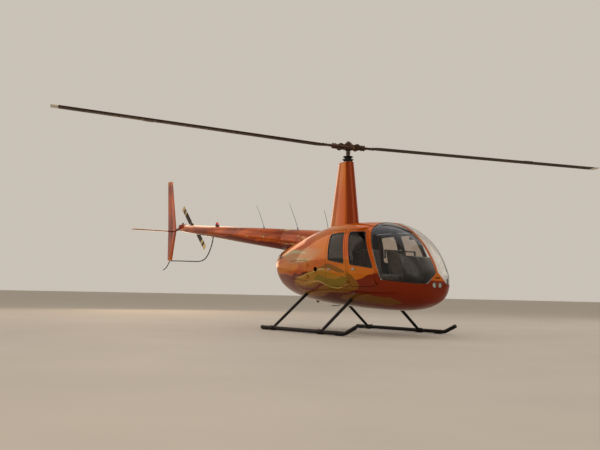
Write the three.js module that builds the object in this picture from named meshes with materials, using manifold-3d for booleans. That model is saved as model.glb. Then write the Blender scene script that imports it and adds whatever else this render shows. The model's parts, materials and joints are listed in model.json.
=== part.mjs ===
// Light four-seat helicopter on skids, built as an assembly of separate pieces.
// Millimetres, +X forward, +Y to the left, +Z up, resting on z = 0.
// Stations are measured forward of the rotor mast; the whole assembly is then moved to its origin.

import * as THREE from 'three';
import { mergeVertices } from 'three/addons/utils/BufferGeometryUtils.js';
import Module from 'manifold-3d';

const wasm = await Module();
wasm.setup();

// Driving dimensions
const MAST_X = 2328; // the mast, forward of the middle of the whole length
const SEAT_GAP = 0.3; // between pieces that touch
const WALL = 30; // cabin, door and cowling wall
const FIREWALL_X = -20; // where the cabin shell meets the engine cowling
const HUB_Z = 3205;
const ROTOR_RADIUS = 5030;
const ROTOR_AZIMUTH = 69.5; // degrees, of the blade that points away to the left
const BLADE_CHORD = 257;
const BLADE_THICKNESS = 31;
const DROOP = -0.92; // degrees, blade A
const RISE = 3.9; // degrees, blade B
const TAIL_ROTOR = { x: -5893, y: 280, z: 2100, radius: 737, chord: 130, tilt: 45 };
const BOOM = { ridge: -400, front: -1700, rear: -5880, slope: 0.1017, wall: 8 };
const SKID = { y: 1090, radius: 32, heel: -960, bend: 1290, toe: 1540, toeZ: 150 };
const LEG = { rearX: -630, frontX: 690, slope: 0.82, chord: 70, thickness: 44 };
const SHOE = { length: 150, width: 42, thickness: 6 };
const DOOR_GAP = 9; // round each door's edge
const EDGE_TAPER = 0.0005; // a door narrows by this share of its size for each mm inwards
const TAPER_Y = 630; // half width at which a door has its stated outline
const AROUND = 24; // points round the body's section
const SMALLEST_STEP = 0.08; // surface detail below this is dropped

// Body sections: station, crown, keel, half width, height of the greatest width, and the roundness
// above and below it, where 2 is an ellipse and more is squarer.
const BODY_ROWS = [
  { x: -1905, crown: 1185, keel: 1185, half: 0, beam: 1185, top: 2.0, low: 2.0 },
  { x: -1888, crown: 1300, keel: 1040, half: 120, beam: 1185, top: 2.0, low: 2.0 },
  { x: -1815, crown: 1370, keel: 905, half: 205, beam: 1175, top: 2.2, low: 2.0 },
  { x: -1640, crown: 1450, keel: 745, half: 300, beam: 1160, top: 2.3, low: 2.1 },
  { x: -1350, crown: 1535, keel: 625, half: 390, beam: 1140, top: 2.4, low: 2.1 },
  { x: -980, crown: 1635, keel: 550, half: 482, beam: 1110, top: 2.5, low: 2.2 },
  { x: -500, crown: 1740, keel: 485, half: 568, beam: 1080, top: 2.8, low: 2.3 },
  { x: 0, crown: 1812, keel: 445, half: 618, beam: 1050, top: 3.3, low: 2.4 },
  { x: 500, crown: 1832, keel: 420, half: 640, beam: 1030, top: 3.7, low: 2.4 },
  { x: 950, crown: 1828, keel: 400, half: 640, beam: 1010, top: 3.3, low: 2.4 },
  { x: 1300, crown: 1785, keel: 395, half: 622, beam: 985, top: 3.0, low: 2.4 },
  { x: 1600, crown: 1652, keel: 405, half: 580, beam: 950, top: 2.7, low: 2.3 },
  { x: 1850, crown: 1453, keel: 440, half: 500, beam: 915, top: 2.5, low: 2.3 },
  { x: 2045, crown: 1200, keel: 510, half: 383, beam: 880, top: 2.3, low: 2.3 },
  { x: 2112, crown: 1085, keel: 577, half: 303, beam: 868, top: 2.2, low: 2.2 },
  { x: 2148, crown: 1000, keel: 667, half: 205, beam: 862, top: 2.1, low: 2.1 },
  { x: 2162, crown: 865, keel: 865, half: 0, beam: 865, top: 2.0, low: 2.0 },
];

// Door and window outlines seen from the side, as (station, height) corners
const POST = { foot: 815, lean: 0.149, half: 30 };
const postX = (z, offset) => POST.foot - POST.lean * (z - 760) + offset;
const FRONT_DOOR = [
  [postX(760, POST.half), 760], [1405, 760], [1405, 1050], [1112, 1715], [postX(1715, POST.half), 1715],
];
const REAR_DOOR = [
  [215, 760], [postX(760, -POST.half), 760], [postX(1715, -POST.half), 1715], [215, 1715],
];
const FRONT_WINDOW = [[838, 1113], [1370, 1050], [1095, 1645], [740, 1650]];
const REAR_WINDOW = [[262, 1196], [690, 1130], [612, 1647], [262, 1632]];
const COWL_DOOR = [[-1020, 880], [-365, 850], [-365, 1210], [-1020, 1210]];
const WINDSHIELD_SIDE = [
  [1180, 1950], [1180, 1690], [1251, 1528], [1335, 1332], [1448, 1056], [1525, 870], [2090, 818], [2600, 818],
  [2600, 1950],
];
const WINDSHIELD_FRONT = [
  [-700, 1990], [-700, 700], [-210, 818], [-16, 1000], [16, 1000], [210, 818], [700, 700], [700, 1990],
];
const WINDSHIELD_X = [900, 2700]; // stations that its cutting prisms reach between
const BOW_HALF = 16;

const paint = (color, roughness = 0.25, metalness = 0.1) =>
  new THREE.MeshStandardMaterial({ color, roughness, metalness });
const ORANGE = paint(0xc8500f);
const RED = paint(0x8f2010);
const BLACK = paint(0x17130f, 0.45);
const BROWN = paint(0x3a2a20, 0.5, 0.4);
const STEEL = paint(0x8d8a86, 0.4, 0.8);
const TAN = paint(0x6e6157, 0.9, 0.0);
const GREY = paint(0x4a4643, 0.7, 0.2);
const GLASS = new THREE.MeshStandardMaterial({
  color: 0x5a5048, roughness: 0.05, metalness: 0, transparent: true, opacity: 0.4,
});

const helicopter = new THREE.Group();
const airframe = new THREE.Group();
airframe.position.x = MAST_X;
helicopter.add(airframe);

function addPiece(name, shape, material, parent = airframe) {
  const geometry = shape.isBufferGeometry ? shape : toGeometry(shape.simplify(SMALLEST_STEP));
  const mesh = new THREE.Mesh(geometry, material);
  mesh.name = name;
  parent.add(mesh);
  return mesh;
}

// Solids and geometries
function toSolid(geometry) {
  const bare = geometry.clone();
  bare.deleteAttribute('normal');
  bare.deleteAttribute('uv');
  const merged = mergeVertices(bare, 1e-3);
  return new wasm.Manifold(new wasm.Mesh({
    numProp: 3,
    vertProperties: new Float32Array(merged.attributes.position.array),
    triVerts: new Uint32Array(merged.index.array),
  }));
}

function toGeometry(solid) {
  const mesh = solid.getMesh();
  const geometry = new THREE.BufferGeometry();
  geometry.setAttribute('position', new THREE.BufferAttribute(mesh.vertProperties, 3));
  geometry.setIndex(new THREE.BufferAttribute(mesh.triVerts, 1));
  geometry.computeVertexNormals();
  return geometry;
}

const join = (...shapes) =>
  shapes.map((s) => (s.isBufferGeometry ? toSolid(s) : s)).reduce((a, b) => a.add(b));

const cut = (shape, ...tools) =>
  tools.map((s) => (s.isBufferGeometry ? toSolid(s) : s))
    .reduce((a, b) => a.subtract(b), shape.isBufferGeometry ? toSolid(shape) : shape);

function box(x0, x1, y0, y1, z0, z1) {
  const geometry = new THREE.BoxGeometry(x1 - x0, y1 - y0, z1 - z0);
  return geometry.translate((x0 + x1) / 2, (y0 + y1) / 2, (z0 + z1) / 2);
}

// A round bar between two points, with its own radius at each end
function bar(from, to, radius, endRadius = radius, sides = 12) {
  const start = new THREE.Vector3(...from);
  const end = new THREE.Vector3(...to);
  const geometry = new THREE.CylinderGeometry(endRadius, radius, start.distanceTo(end), sides);
  const turn = new THREE.Quaternion().setFromUnitVectors(
    new THREE.Vector3(0, 1, 0), end.clone().sub(start).normalize());
  geometry.applyQuaternion(turn);
  const middle = start.add(end).multiplyScalar(0.5);
  return geometry.translate(middle.x, middle.y, middle.z);
}

// A round tube of one radius along a path of points joined by smooth bends
function bentBar(points, radius, steps = 20, sides = 10) {
  const path = new THREE.CatmullRomCurve3(points.map((p) => new THREE.Vector3(...p)), false, 'centripetal');
  const section = new THREE.Shape();
  section.absarc(0, 0, radius, 0, Math.PI * 2);
  return new THREE.ExtrudeGeometry(section, { extrudePath: path, steps, curveSegments: sides / 2 });
}

// A closed skin through rings of points that all run the same way round
function loft(rings) {
  const points = rings.flat();
  const faces = [];
  const starts = [];
  rings.reduce((first, ring) => {
    starts.push(first);
    return first + ring.length;
  }, 0);
  const capRing = (index, flip) => {
    const ring = rings[index];
    const middle = ring.reduce((sum, p) => sum.add(p), new THREE.Vector3()).multiplyScalar(1 / ring.length);
    points.push(middle);
    const centre = points.length - 1;
    ring.forEach((_, i) => {
      const a = starts[index] + i;
      const b = starts[index] + (i + 1) % ring.length;
      faces.push(...(flip ? [centre, b, a] : [centre, a, b]));
    });
  };
  for (let r = 0; r < rings.length - 1; r += 1) {
    const [here, next] = [rings[r], rings[r + 1]];
    const count = Math.max(here.length, next.length);
    for (let i = 0; i < count; i += 1) {
      const j = (i + 1) % count;
      const [a, b] = (here.length === 1 ? [0, 0] : [i, j]).map((k) => starts[r] + k);
      const [c, d] = (next.length === 1 ? [0, 0] : [i, j]).map((k) => starts[r + 1] + k);
      if (a !== b) faces.push(a, d, b);
      if (c !== d) faces.push(a, c, d);
    }
  }
  if (rings[0].length > 1) capRing(0, false);
  if (rings[rings.length - 1].length > 1) capRing(rings.length - 1, true);
  const geometry = new THREE.BufferGeometry();
  const flat = points.flatMap((p) => p.toArray());
  geometry.setAttribute('position', new THREE.Float32BufferAttribute(flat, 3));
  geometry.setIndex(faces);
  const solid = toSolid(geometry);
  return solid.volume() > 0 ? solid : toSolid(flipped(geometry));
}

function flipped(geometry) {
  const copy = geometry.clone();
  const order = Array.from(copy.index.array);
  for (let i = 0; i < order.length; i += 3) [order[i], order[i + 1]] = [order[i + 1], order[i]];
  copy.setIndex(order);
  return copy;
}

// The body's surface
const smooth = (a, b, c, d, t) =>
  0.5 * (2 * b + (c - a) * t + (2 * a - 5 * b + 4 * c - d) * t * t + (3 * b - a - 3 * c + d) * t * t * t);

function bodyRow(station) {
  const last = BODY_ROWS.length - 1;
  const i = Math.min(Math.floor(station), last - 1);
  const rows = [i - 1, i, i + 1, i + 2].map((k) => BODY_ROWS[Math.max(0, Math.min(last, k))]);
  const row = {};
  for (const key of Object.keys(BODY_ROWS[0])) {
    row[key] = smooth(...rows.map((r) => r[key]), station - i);
  }
  return row;
}

function bodyPoint(station, angle) {
  const row = bodyRow(station);
  const [side, rise] = [Math.cos(angle), Math.sin(angle)];
  const power = 2 / (rise >= 0 ? row.top : row.low);
  const reach = rise >= 0 ? row.crown - row.beam : row.beam - row.keel;
  const half = Math.max(row.half, 0);
  return new THREE.Vector3(
    row.x,
    half * Math.sign(side) * Math.abs(side) ** power,
    row.beam + reach * Math.sign(rise) * Math.abs(rise) ** power,
  );
}

function bodyPointInside(station, angle, inset) {
  const last = BODY_ROWS.length - 1;
  const point = bodyPoint(station, angle);
  if (station <= 0 || station >= last) {
    return point.setX(point.x + (station <= 0 ? inset : -inset));
  }
  const step = 0.04;
  const [ahead, behind] = [Math.min(station + step, last), Math.max(station - step, 0)];
  const along = bodyPoint(ahead, angle).sub(bodyPoint(behind, angle));
  const round = bodyPoint(station, angle + step).sub(bodyPoint(station, angle - step));
  return point.addScaledVector(along.cross(round).normalize(), inset);
}

function bodyLoft(inset, detail = 2) {
  const last = BODY_ROWS.length - 1;
  const rings = [];
  for (let k = 0; k <= last * detail; k += 1) {
    const station = k / detail;
    const closed = k === 0 || k === last * detail;
    const count = closed ? 1 : AROUND;
    const angles = Array.from({ length: count }, (_, i) => (i / AROUND) * Math.PI * 2);
    rings.push(angles.map((angle) => bodyPointInside(station, angle, inset)));
  }
  return loft(rings);
}

function stationAt(x) {
  let [low, high] = [0, BODY_ROWS.length - 1];
  for (let i = 0; i < 40; i += 1) {
    const middle = (low + high) / 2;
    if (bodyRow(middle).x < x) low = middle;
    else high = middle;
  }
  return low;
}

// The skin's distance from the middle plane at a station and a height
function skinY(x, z) {
  const row = bodyRow(stationAt(x));
  const power = z >= row.beam ? row.top : row.low;
  const reach = z >= row.beam ? row.crown - row.beam : row.beam - row.keel;
  return row.half * Math.max(0, 1 - Math.abs((z - row.beam) / reach) ** power) ** (1 / power);
}

// Outlines
function offsetCorners(corners, distance) {
  const count = corners.length;
  const area = corners.reduce((sum, [x, y], i) => {
    const [u, v] = corners[(i + 1) % count];
    return sum + x * v - u * y;
  }, 0);
  const out = Math.sign(area) * distance;
  return corners.map((corner, i) => {
    const here = new THREE.Vector2(...corner);
    const before = new THREE.Vector2(...corners[(i + count - 1) % count]);
    const after = new THREE.Vector2(...corners[(i + 1) % count]);
    const a = here.clone().sub(before).normalize();
    const b = after.clone().sub(here).normalize();
    const [na, nb] = [new THREE.Vector2(a.y, -a.x), new THREE.Vector2(b.y, -b.x)];
    const middle = na.clone().add(nb);
    const shift = middle.multiplyScalar(out / (1 + na.dot(nb)));
    return [here.x + shift.x, here.y + shift.y];
  });
}

// A closed outline whose corners are rounded by arcs of about this radius
function roundedOutline(corners, radius) {
  const count = corners.length;
  const points = [];
  corners.forEach((corner, i) => {
    const here = new THREE.Vector2(...corner);
    const before = new THREE.Vector2(...corners[(i + count - 1) % count]);
    const after = new THREE.Vector2(...corners[(i + 1) % count]);
    const start = here.clone().add(before.sub(here).setLength(radius));
    const end = here.clone().add(after.sub(here).setLength(radius));
    points.push(...new THREE.QuadraticBezierCurve(start, here, end).getPoints(3));
  });
  return new THREE.Shape(points);
}

// An outline in (station, height), extruded across the body from y0 to y1
function sidePrism(corners, y0, y1, { radius = 0, taper = 0 } = {}) {
  const sharp = () => new THREE.Shape(corners.map((c) => new THREE.Vector2(...c)));
  const shape = radius > 0 ? roundedOutline(corners, radius) : sharp();
  const [low, high] = [Math.min(y0, y1), Math.max(y0, y1)];
  const geometry = new THREE.ExtrudeGeometry(shape, { depth: high - low, bevelEnabled: false });
  geometry.rotateX(Math.PI / 2).translate(0, high, 0);
  if (taper > 0) {
    const middleX = corners.reduce((sum, c) => sum + c[0], 0) / corners.length;
    const middleZ = corners.reduce((sum, c) => sum + c[1], 0) / corners.length;
    const position = geometry.attributes.position;
    for (let i = 0; i < position.count; i += 1) {
      const scale = 1 + taper * (Math.abs(position.getY(i)) - TAPER_Y);
      position.setX(i, middleX + (position.getX(i) - middleX) * scale);
      position.setZ(i, middleZ + (position.getZ(i) - middleZ) * scale);
    }
  }
  return toSolid(geometry);
}

// An outline in (y, height), extruded along the body from x0 to x1
function frontPrism(corners, x0, x1) {
  const shape = new THREE.Shape(corners.map((c) => new THREE.Vector2(...c)));
  const geometry = new THREE.ExtrudeGeometry(shape, { depth: x1 - x0, bevelEnabled: false });
  geometry.applyMatrix4(new THREE.Matrix4().makeBasis(
    new THREE.Vector3(0, 1, 0), new THREE.Vector3(0, 0, 1), new THREE.Vector3(1, 0, 0)));
  return toSolid(geometry.translate(x0, 0, 0));
}

const SIDES = [{ name: 'right', sign: -1 }, { name: 'left', sign: 1 }];
const INNER_Y = 300;
const OUTER_Y = 800;

const outerBody = bodyLoft(0);
const innerBody = bodyLoft(WALL, 1);
const clearBody = bodyLoft(-SEAT_GAP);
const liningBody = bodyLoft(WALL + SEAT_GAP, 1);
const wall = outerBody.subtract(innerBody);
const glassLayer = bodyLoft(5).subtract(bodyLoft(13));

// Hinges: two stacked knuckles on one axis, the lower on the frame and the upper on the door
const KNUCKLE = { radius: 9, height: 24, reach: 42, standOff: 13, web: 16, depth: 12 };

function hingeAxis(x, z, lean, sign) {
  const y = sign * (Math.max(skinY(x, z), skinY(x, z + 190)) + KNUCKLE.standOff);
  return { point: new THREE.Vector3(x, y, z), lean, sign };
}

function knuckle(axis, height, onDoor) {
  const { radius, reach, web } = KNUCKLE;
  const along = height - axis.point.z;
  const x = axis.point.x - Math.tan(axis.lean) * along;
  const skin = skinY(x, height);
  const tall = KNUCKLE.height;
  const z0 = onDoor ? SEAT_GAP / 2 : -SEAT_GAP / 2 - tall;
  const way = onDoor ? -1 : 1;
  const inboard = Math.abs(axis.point.y) - skin + KNUCKLE.depth;
  const parts = [
    new THREE.CylinderGeometry(radius, radius, tall, 12).rotateX(Math.PI / 2).translate(0, 0, z0 + tall / 2),
    box(Math.min(0, way * reach), Math.max(0, way * reach), -radius + 2, radius - 2, z0, z0 + tall),
    box(Math.min(way * web, way * reach), Math.max(way * web, way * reach),
      Math.min(0, -axis.sign * inboard), Math.max(0, -axis.sign * inboard), z0, z0 + tall),
  ];
  const place = new THREE.Matrix4().makeRotationY(-axis.lean);
  place.setPosition(x, axis.point.y, height);
  return join(...parts.map((p) => p.applyMatrix4(place)));
}

const HINGE_Z = 820;
const HINGE_HEIGHTS = [820, 1000];
const REAR_HINGE_X = postX(HINGE_Z, -POST.half + 3);
const DOORS = [
  { name: 'front', outline: FRONT_DOOR, window: FRONT_WINDOW, hingeX: 1410, lean: 0, latchX: 905 },
  {
    name: 'rear', outline: REAR_DOOR, window: REAR_WINDOW, hingeX: REAR_HINGE_X, lean: Math.atan(POST.lean),
    latchX: 270,
  },
];
const HANDLE = { long: 90, half: 10, z0: 1030, z1: 1052, proud: 6 };
const DOOR_RADIUS = 45;
const WINDOW_RADIUS = 40;

const joints = [];
let shell = wall;
for (const side of SIDES) {
  const ends = [side.sign * INNER_Y, side.sign * OUTER_Y];
  for (const door of DOORS) {
    const axis = hingeAxis(door.hingeX, HINGE_Z, door.lean, side.sign);
    const edge = { radius: DOOR_RADIUS, taper: EDGE_TAPER };
    const pane = { radius: WINDOW_RADIUS };
    const panel = wall.intersect(sidePrism(door.outline, ...ends, edge));
    const handleY = side.sign * (skinY(door.latchX, HANDLE.z0) + HANDLE.proud);
    const handle = box(door.latchX - HANDLE.half, door.latchX - HANDLE.half + HANDLE.long,
      handleY - HANDLE.half, handleY + HANDLE.half, HANDLE.z0, HANDLE.z1);
    const leaf = join(
      cut(panel, sidePrism(door.window, ...ends, pane)),
      handle,
      ...HINGE_HEIGHTS.map((z) => knuckle(axis, z, true)),
    );
    addPiece(`door_${door.name}_${side.name}`, leaf, ORANGE);
    const glass = glassLayer.intersect(sidePrism(offsetCorners(door.window, -SEAT_GAP), ...ends, pane));
    addPiece(`door_window_${door.name}_${side.name}`, glass, GLASS);
    const doorway = sidePrism(
      offsetCorners(door.outline, DOOR_GAP), ...ends, { ...edge, radius: DOOR_RADIUS + DOOR_GAP });
    shell = cut(shell, doorway);
    shell = join(shell, ...HINGE_HEIGHTS.map((z) => knuckle(axis, z, false)));
    joints.push({ name: `door_${door.name}_${side.name}`, point: axis.point, lean: door.lean });
  }
}

const LAMP = { y: 63, z: 803, radius: 42, back: 2050, front: 2300 };
const lampBars = (grow) => SIDES.map(({ sign }) => {
  const [y, radius] = [sign * LAMP.y, LAMP.radius + grow];
  return bar([LAMP.back, y, LAMP.z], [LAMP.front, y, LAMP.z], radius, radius, 16);
});
shell = cut(shell, ...lampBars(SEAT_GAP));

// Windshield halves, the bow between them and the compass that hangs from it
const windshieldHole = sidePrism(WINDSHIELD_SIDE, -OUTER_Y, OUTER_Y)
  .intersect(frontPrism(WINDSHIELD_FRONT, ...WINDSHIELD_X));
const windshieldFit = sidePrism(offsetCorners(WINDSHIELD_SIDE, -SEAT_GAP), -OUTER_Y, OUTER_Y)
  .intersect(frontPrism(offsetCorners(WINDSHIELD_FRONT, -SEAT_GAP), ...WINDSHIELD_X));
shell = shell.subtract(windshieldHole);
for (const side of SIDES) {
  const [a, b] = [side.sign * (BOW_HALF + SEAT_GAP), side.sign * OUTER_Y];
  const half = toSolid(box(...WINDSHIELD_X, Math.min(a, b), Math.max(a, b), 600, 2000));
  addPiece(`windshield_${side.name}`, glassLayer.intersect(windshieldFit).intersect(half), GLASS);
}
const COMPASS = { x: 1590, z: 1545, radius: 34 };
const bowStrip = wall.intersect(windshieldFit)
  .intersect(toSolid(box(...WINDSHIELD_X, -BOW_HALF, BOW_HALF, 600, 2000)));
const bow = join(
  bowStrip,
  bar([COMPASS.x + 40, 0, COMPASS.z + 75], [COMPASS.x, 0, COMPASS.z], 7),
  new THREE.SphereGeometry(COMPASS.radius, 10, 6).translate(COMPASS.x, 0, COMPASS.z),
);
addPiece('windshield_bow_with_compass', bow, ORANGE);

// Tail boom: a thin cone, open at its front end inside the cowling
const boomZ = (x) => 1656 - BOOM.slope * (x + 1880);
const boomRadius = (x) => 200 + 0.0299 * (x + 1880);

function boomCone(x0, x1, grow, sides = 32) {
  const [start, end] = [x0, x1].map((x) => ({ point: [x, 0, boomZ(x)], radius: boomRadius(x) + grow }));
  return toSolid(bar(start.point, end.point, start.radius, end.radius, sides));
}

const boomSkin = cut(
  boomCone(BOOM.front - SEAT_GAP, BOOM.rear, 0),
  boomCone(BOOM.front + 20, BOOM.rear + 20, -BOOM.wall),
);
addPiece('tail_boom', boomSkin, ORANGE);

// Engine cowling with its doors, rear grille and air intake
const INTAKE = { x: -95, z: 1047, long: 60, tall: 45 };
const intakeMouth = new THREE.CylinderGeometry(1, 1, 500, 20)
  .scale(INTAKE.long, 1, INTAKE.tall).translate(INTAKE.x, -600, INTAKE.z);
const COWL_HINGE_X = -358;
const COWL_HINGE_HEIGHTS = [930, 1120];
const GRILLE = { x0: -2000, x1: -1500, z: 1645, inner: 228, outer: 400, spread: 42, slots: 4 };

// A sector of a ring round the boom, open downwards, extruded along the body
function ringSector({ x0, x1, z, inner, outer, spread }, grow) {
  const turn = THREE.MathUtils.degToRad(spread) + grow / outer;
  const shape = new THREE.Shape();
  shape.absarc(0, 0, outer + grow, -Math.PI / 2 - turn, -Math.PI / 2 + turn, false);
  shape.absarc(0, 0, inner - grow, -Math.PI / 2 + turn, -Math.PI / 2 - turn, true);
  const corners = shape.getPoints(3).map((p) => [p.x, p.y + z]);
  return frontPrism(corners.slice(0, -1), x0, x1);
}
const ENGINE = { x0: -820, x1: -180, half: 280, z0: 700, z1: 1120 };
const TAILPIPE_RADIUS = 32;
const tailpipe = (grow) => bentBar([
  [ENGINE.x0 - SEAT_GAP, 180, 770], [-870, 192, 745], [-950, 215, 640], [-1010, 230, 560], [-1090, 240, 490],
], TAILPIPE_RADIUS + grow, 8, 14);
let cowling = outerBody.add(boomCone(BOOM.ridge, BOOM.front, 0))
  .subtract(innerBody.add(boomCone(BOOM.ridge - 40, BOOM.front, -BOOM.wall)));
for (const side of SIDES) {
  const ends = [side.sign * 200, side.sign * OUTER_Y];
  const edge = { radius: DOOR_RADIUS, taper: EDGE_TAPER };
  const axis = hingeAxis(COWL_HINGE_X, COWL_HINGE_HEIGHTS[0], 0, side.sign);
  const leaf = join(
    wall.intersect(sidePrism(COWL_DOOR, ...ends, edge)),
    ...COWL_HINGE_HEIGHTS.map((z) => knuckle(axis, z, true)),
  );
  addPiece(`cowl_door_${side.name}`, leaf, ORANGE);
  const doorway = sidePrism(
    offsetCorners(COWL_DOOR, DOOR_GAP), ...ends, { ...edge, radius: DOOR_RADIUS + DOOR_GAP });
  cowling = cut(cowling, doorway);
  cowling = join(cowling, ...COWL_HINGE_HEIGHTS.map((z) => knuckle(axis, z, false)));
  joints.push({ name: `cowl_door_${side.name}`, point: axis.point, lean: 0 });
}
cowling = cut(cowling, boomCone(BOOM.front, BOOM.rear, SEAT_GAP), ringSector(GRILLE, 0), intakeMouth,
  tailpipe(SEAT_GAP));
const halfSpace = (x0, x1) => toSolid(box(x0, x1, -900, 900, 200, 2100));
addPiece('engine_cowling', cowling.intersect(halfSpace(-2200, FIREWALL_X - SEAT_GAP)), ORANGE);

const slots = Array.from({ length: GRILLE.slots }, (_, i) => {
  const pitch = (GRILLE.outer - GRILLE.inner) / GRILLE.slots;
  const inner = GRILLE.inner + (i + 0.3) * pitch;
  return ringSector({ ...GRILLE, inner, outer: inner + pitch * 0.4, spread: GRILLE.spread - 8 }, 0);
});
const grille = bodyLoft(4, 1).subtract(bodyLoft(20, 1)).intersect(ringSector(GRILLE, -SEAT_GAP));
addPiece('rear_grille', cut(grille, ...slots), BLACK);

addPiece('engine_block', box(ENGINE.x0, ENGINE.x1, -ENGINE.half, ENGINE.half, ENGINE.z0, ENGINE.z1), GREY);
addPiece('exhaust_tailpipe', cut(tailpipe(0), box(
  ENGINE.x0 - SEAT_GAP, ENGINE.x1, -ENGINE.half, ENGINE.half, ENGINE.z0, ENGINE.z1)), STEEL);

// Cabin shell, bulkhead and floor with its seat bases and pedals
const BULKHEAD = { x0: FIREWALL_X - 30, x1: FIREWALL_X + 30 };
const FLOOR = { top: 640, thick: 40, front: 1960 };
addPiece('cabin_shell', shell.intersect(halfSpace(FIREWALL_X, 2400)), ORANGE);
addPiece('cabin_bulkhead', liningBody.intersect(halfSpace(BULKHEAD.x0, BULKHEAD.x1)), GREY);

const SEATS = {
  frontBase: [960, 1420], frontCushion: [1080, 1425], frontBack: 985,
  rearBase: [200, 690], rearCushion: [330, 700], rearBack: 232,
  y0: 60, y1: 520, baseTop: 870, cushion: 90, backTop: 1400, backThick: 80,
};
const seatBases = [SEATS.frontBase, SEATS.rearBase].flatMap(([x0, x1]) => SIDES.map((side) => {
  const [a, b] = [side.sign * SEATS.y0, side.sign * SEATS.y1];
  return box(x0, x1, Math.min(a, b), Math.max(a, b), FLOOR.top - 5, SEATS.baseTop);
}));
const PEDAL = { x: 1720, z: 790, radius: 9 };
const pedals = [-350, -235].flatMap((y) => [
  bar([PEDAL.x + 20, y, FLOOR.top - 5], [PEDAL.x, y, PEDAL.z], PEDAL.radius),
  bar([PEDAL.x, y - 38, PEDAL.z], [PEDAL.x, y + 38, PEDAL.z], PEDAL.radius + 3),
]);
const floorPlate = box(BULKHEAD.x1 + SEAT_GAP, FLOOR.front, -900, 900, FLOOR.top - FLOOR.thick, FLOOR.top);
addPiece('cabin_floor', join(floorPlate, ...seatBases, ...pedals).intersect(liningBody), GREY);

// Seats: cushions on the bases, backs leaning against their frames
const BACK_LEAN = 12;
function seatBack(x, y0, y1, thick) {
  const tall = SEATS.backTop - SEATS.baseTop - SEAT_GAP;
  const geometry = new THREE.BoxGeometry(thick, Math.abs(y1 - y0), tall).translate(thick / 2, 0, tall / 2);
  geometry.rotateY(THREE.MathUtils.degToRad(-BACK_LEAN));
  return geometry.translate(x, (y0 + y1) / 2, SEATS.baseTop + SEAT_GAP);
}
const cushionZ = [SEATS.baseTop + SEAT_GAP, SEATS.baseTop + SEATS.cushion];
for (const side of SIDES) {
  const [a, b] = [side.sign * (SEATS.y0 + 5), side.sign * (SEATS.y1 - 5)].sort((p, q) => p - q);
  addPiece(`seat_cushion_front_${side.name}`, box(...SEATS.frontCushion, a, b, ...cushionZ), TAN);
  addPiece(`seat_back_front_${side.name}`, seatBack(SEATS.frontBack, a, b, SEATS.backThick), TAN);
}
addPiece('seat_cushion_rear', box(...SEATS.rearCushion, -SEATS.y1 + 5, SEATS.y1 - 5, ...cushionZ), TAN);
addPiece('seat_back_rear', seatBack(SEATS.rearBack, -SEATS.y1 + 5, SEATS.y1 - 5, SEATS.backThick), TAN);

// Instrument console and the small controls
const CONSOLE = [
  [1560, 640], [1900, 640], [1985, 850], [2010, 1030], [1870, 1235], [1640, 1262], [1585, 1180],
];
const CONSOLE_HALF = 170;
const pedestal = sidePrism(offsetCorners(CONSOLE, -SEAT_GAP), -CONSOLE_HALF, CONSOLE_HALF, { radius: 40 });
addPiece('instrument_console', pedestal.intersect(bodyLoft(2 * WALL)), BLACK);
const STICK = { footX: 1475, topX: 1330, topZ: 1345, half: 330, gripX: 1345, gripZ: 1215 };
addPiece('cyclic_stick', join(
  bar([STICK.footX, 0, FLOOR.top + SEAT_GAP], [STICK.footX, 0, FLOOR.top + 30], 34),
  bar([STICK.footX, 0, FLOOR.top + 20], [STICK.topX, 0, STICK.topZ - 5], 16),
  bar([STICK.topX, -STICK.half, STICK.topZ], [STICK.topX, STICK.half, STICK.topZ], 11),
  ...SIDES.map(({ sign }) => bar(
    [STICK.topX, sign * STICK.half, STICK.topZ + 7], [STICK.gripX, sign * STICK.half, STICK.gripZ], 15)),
), BLACK);
const LEVER = { y: -35, pivotX: 1100, gripX: 1420, gripZ: 815, half: 20 };
addPiece('collective_lever', join(
  box(LEVER.pivotX - 10, LEVER.pivotX + 30, LEVER.y - LEVER.half, LEVER.y + LEVER.half,
    FLOOR.top + SEAT_GAP, FLOOR.top + 50),
  bar([LEVER.pivotX, LEVER.y, FLOOR.top + 40], [LEVER.gripX, LEVER.y, LEVER.gripZ], 13),
), BLACK);

// Mast fairing, rotor shaft and the lower swashplate
function teardrop(front, rear, half, z, count = 20) {
  return Array.from({ length: count }, (_, i) => {
    const angle = (i / count) * Math.PI * 2;
    const along = (1 + Math.cos(angle)) / 2;
    const width = half * Math.sin(angle) * (0.55 + 0.55 * along);
    return new THREE.Vector3(rear + (front - rear) * along, width, z);
  });
}
const FAIRING = { foot: 1750, top: 2940 };
const fairing = loft([
  teardrop(305, -470, 140, FAIRING.foot),
  teardrop(285, -440, 130, 1860),
  teardrop(205, -340, 108, 2400),
  teardrop(125, -240, 88, FAIRING.top - 8),
  teardrop(112, -228, 80, FAIRING.top),
]);
addPiece('mast_fairing', cut(fairing, clearBody, boomCone(BOOM.ridge, BOOM.front, SEAT_GAP)), ORANGE);
const SHAFT_RADIUS = 36;
const HUB = {
  half: 150, width: 124, height: 84, sleeve: 64, crown: 100,
  pinX: 150, pinRadius: 22, pinHalf: 82, ear: 60, slotHalf: 34, slotFrom: 88,
  teeterZ: 40, teeterHalf: 84, teeterRadius: 40,
};
const ring = (outer, inner, z0, z1) => cut(
  bar([0, 0, z0], [0, 0, z1], outer, outer, 20), bar([0, 0, z0 - 5], [0, 0, z1 + 5], inner, inner, 20));
const SWASH = {
  radius: 116, collar: 66, bore: SHAFT_RADIUS + 6, low: 2966, plate: 20, split: 3006, high: 3022,
};
const CONTROL_ROD = { radius: 10, circle: 80, angles: [20, 140, 260] };
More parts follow.
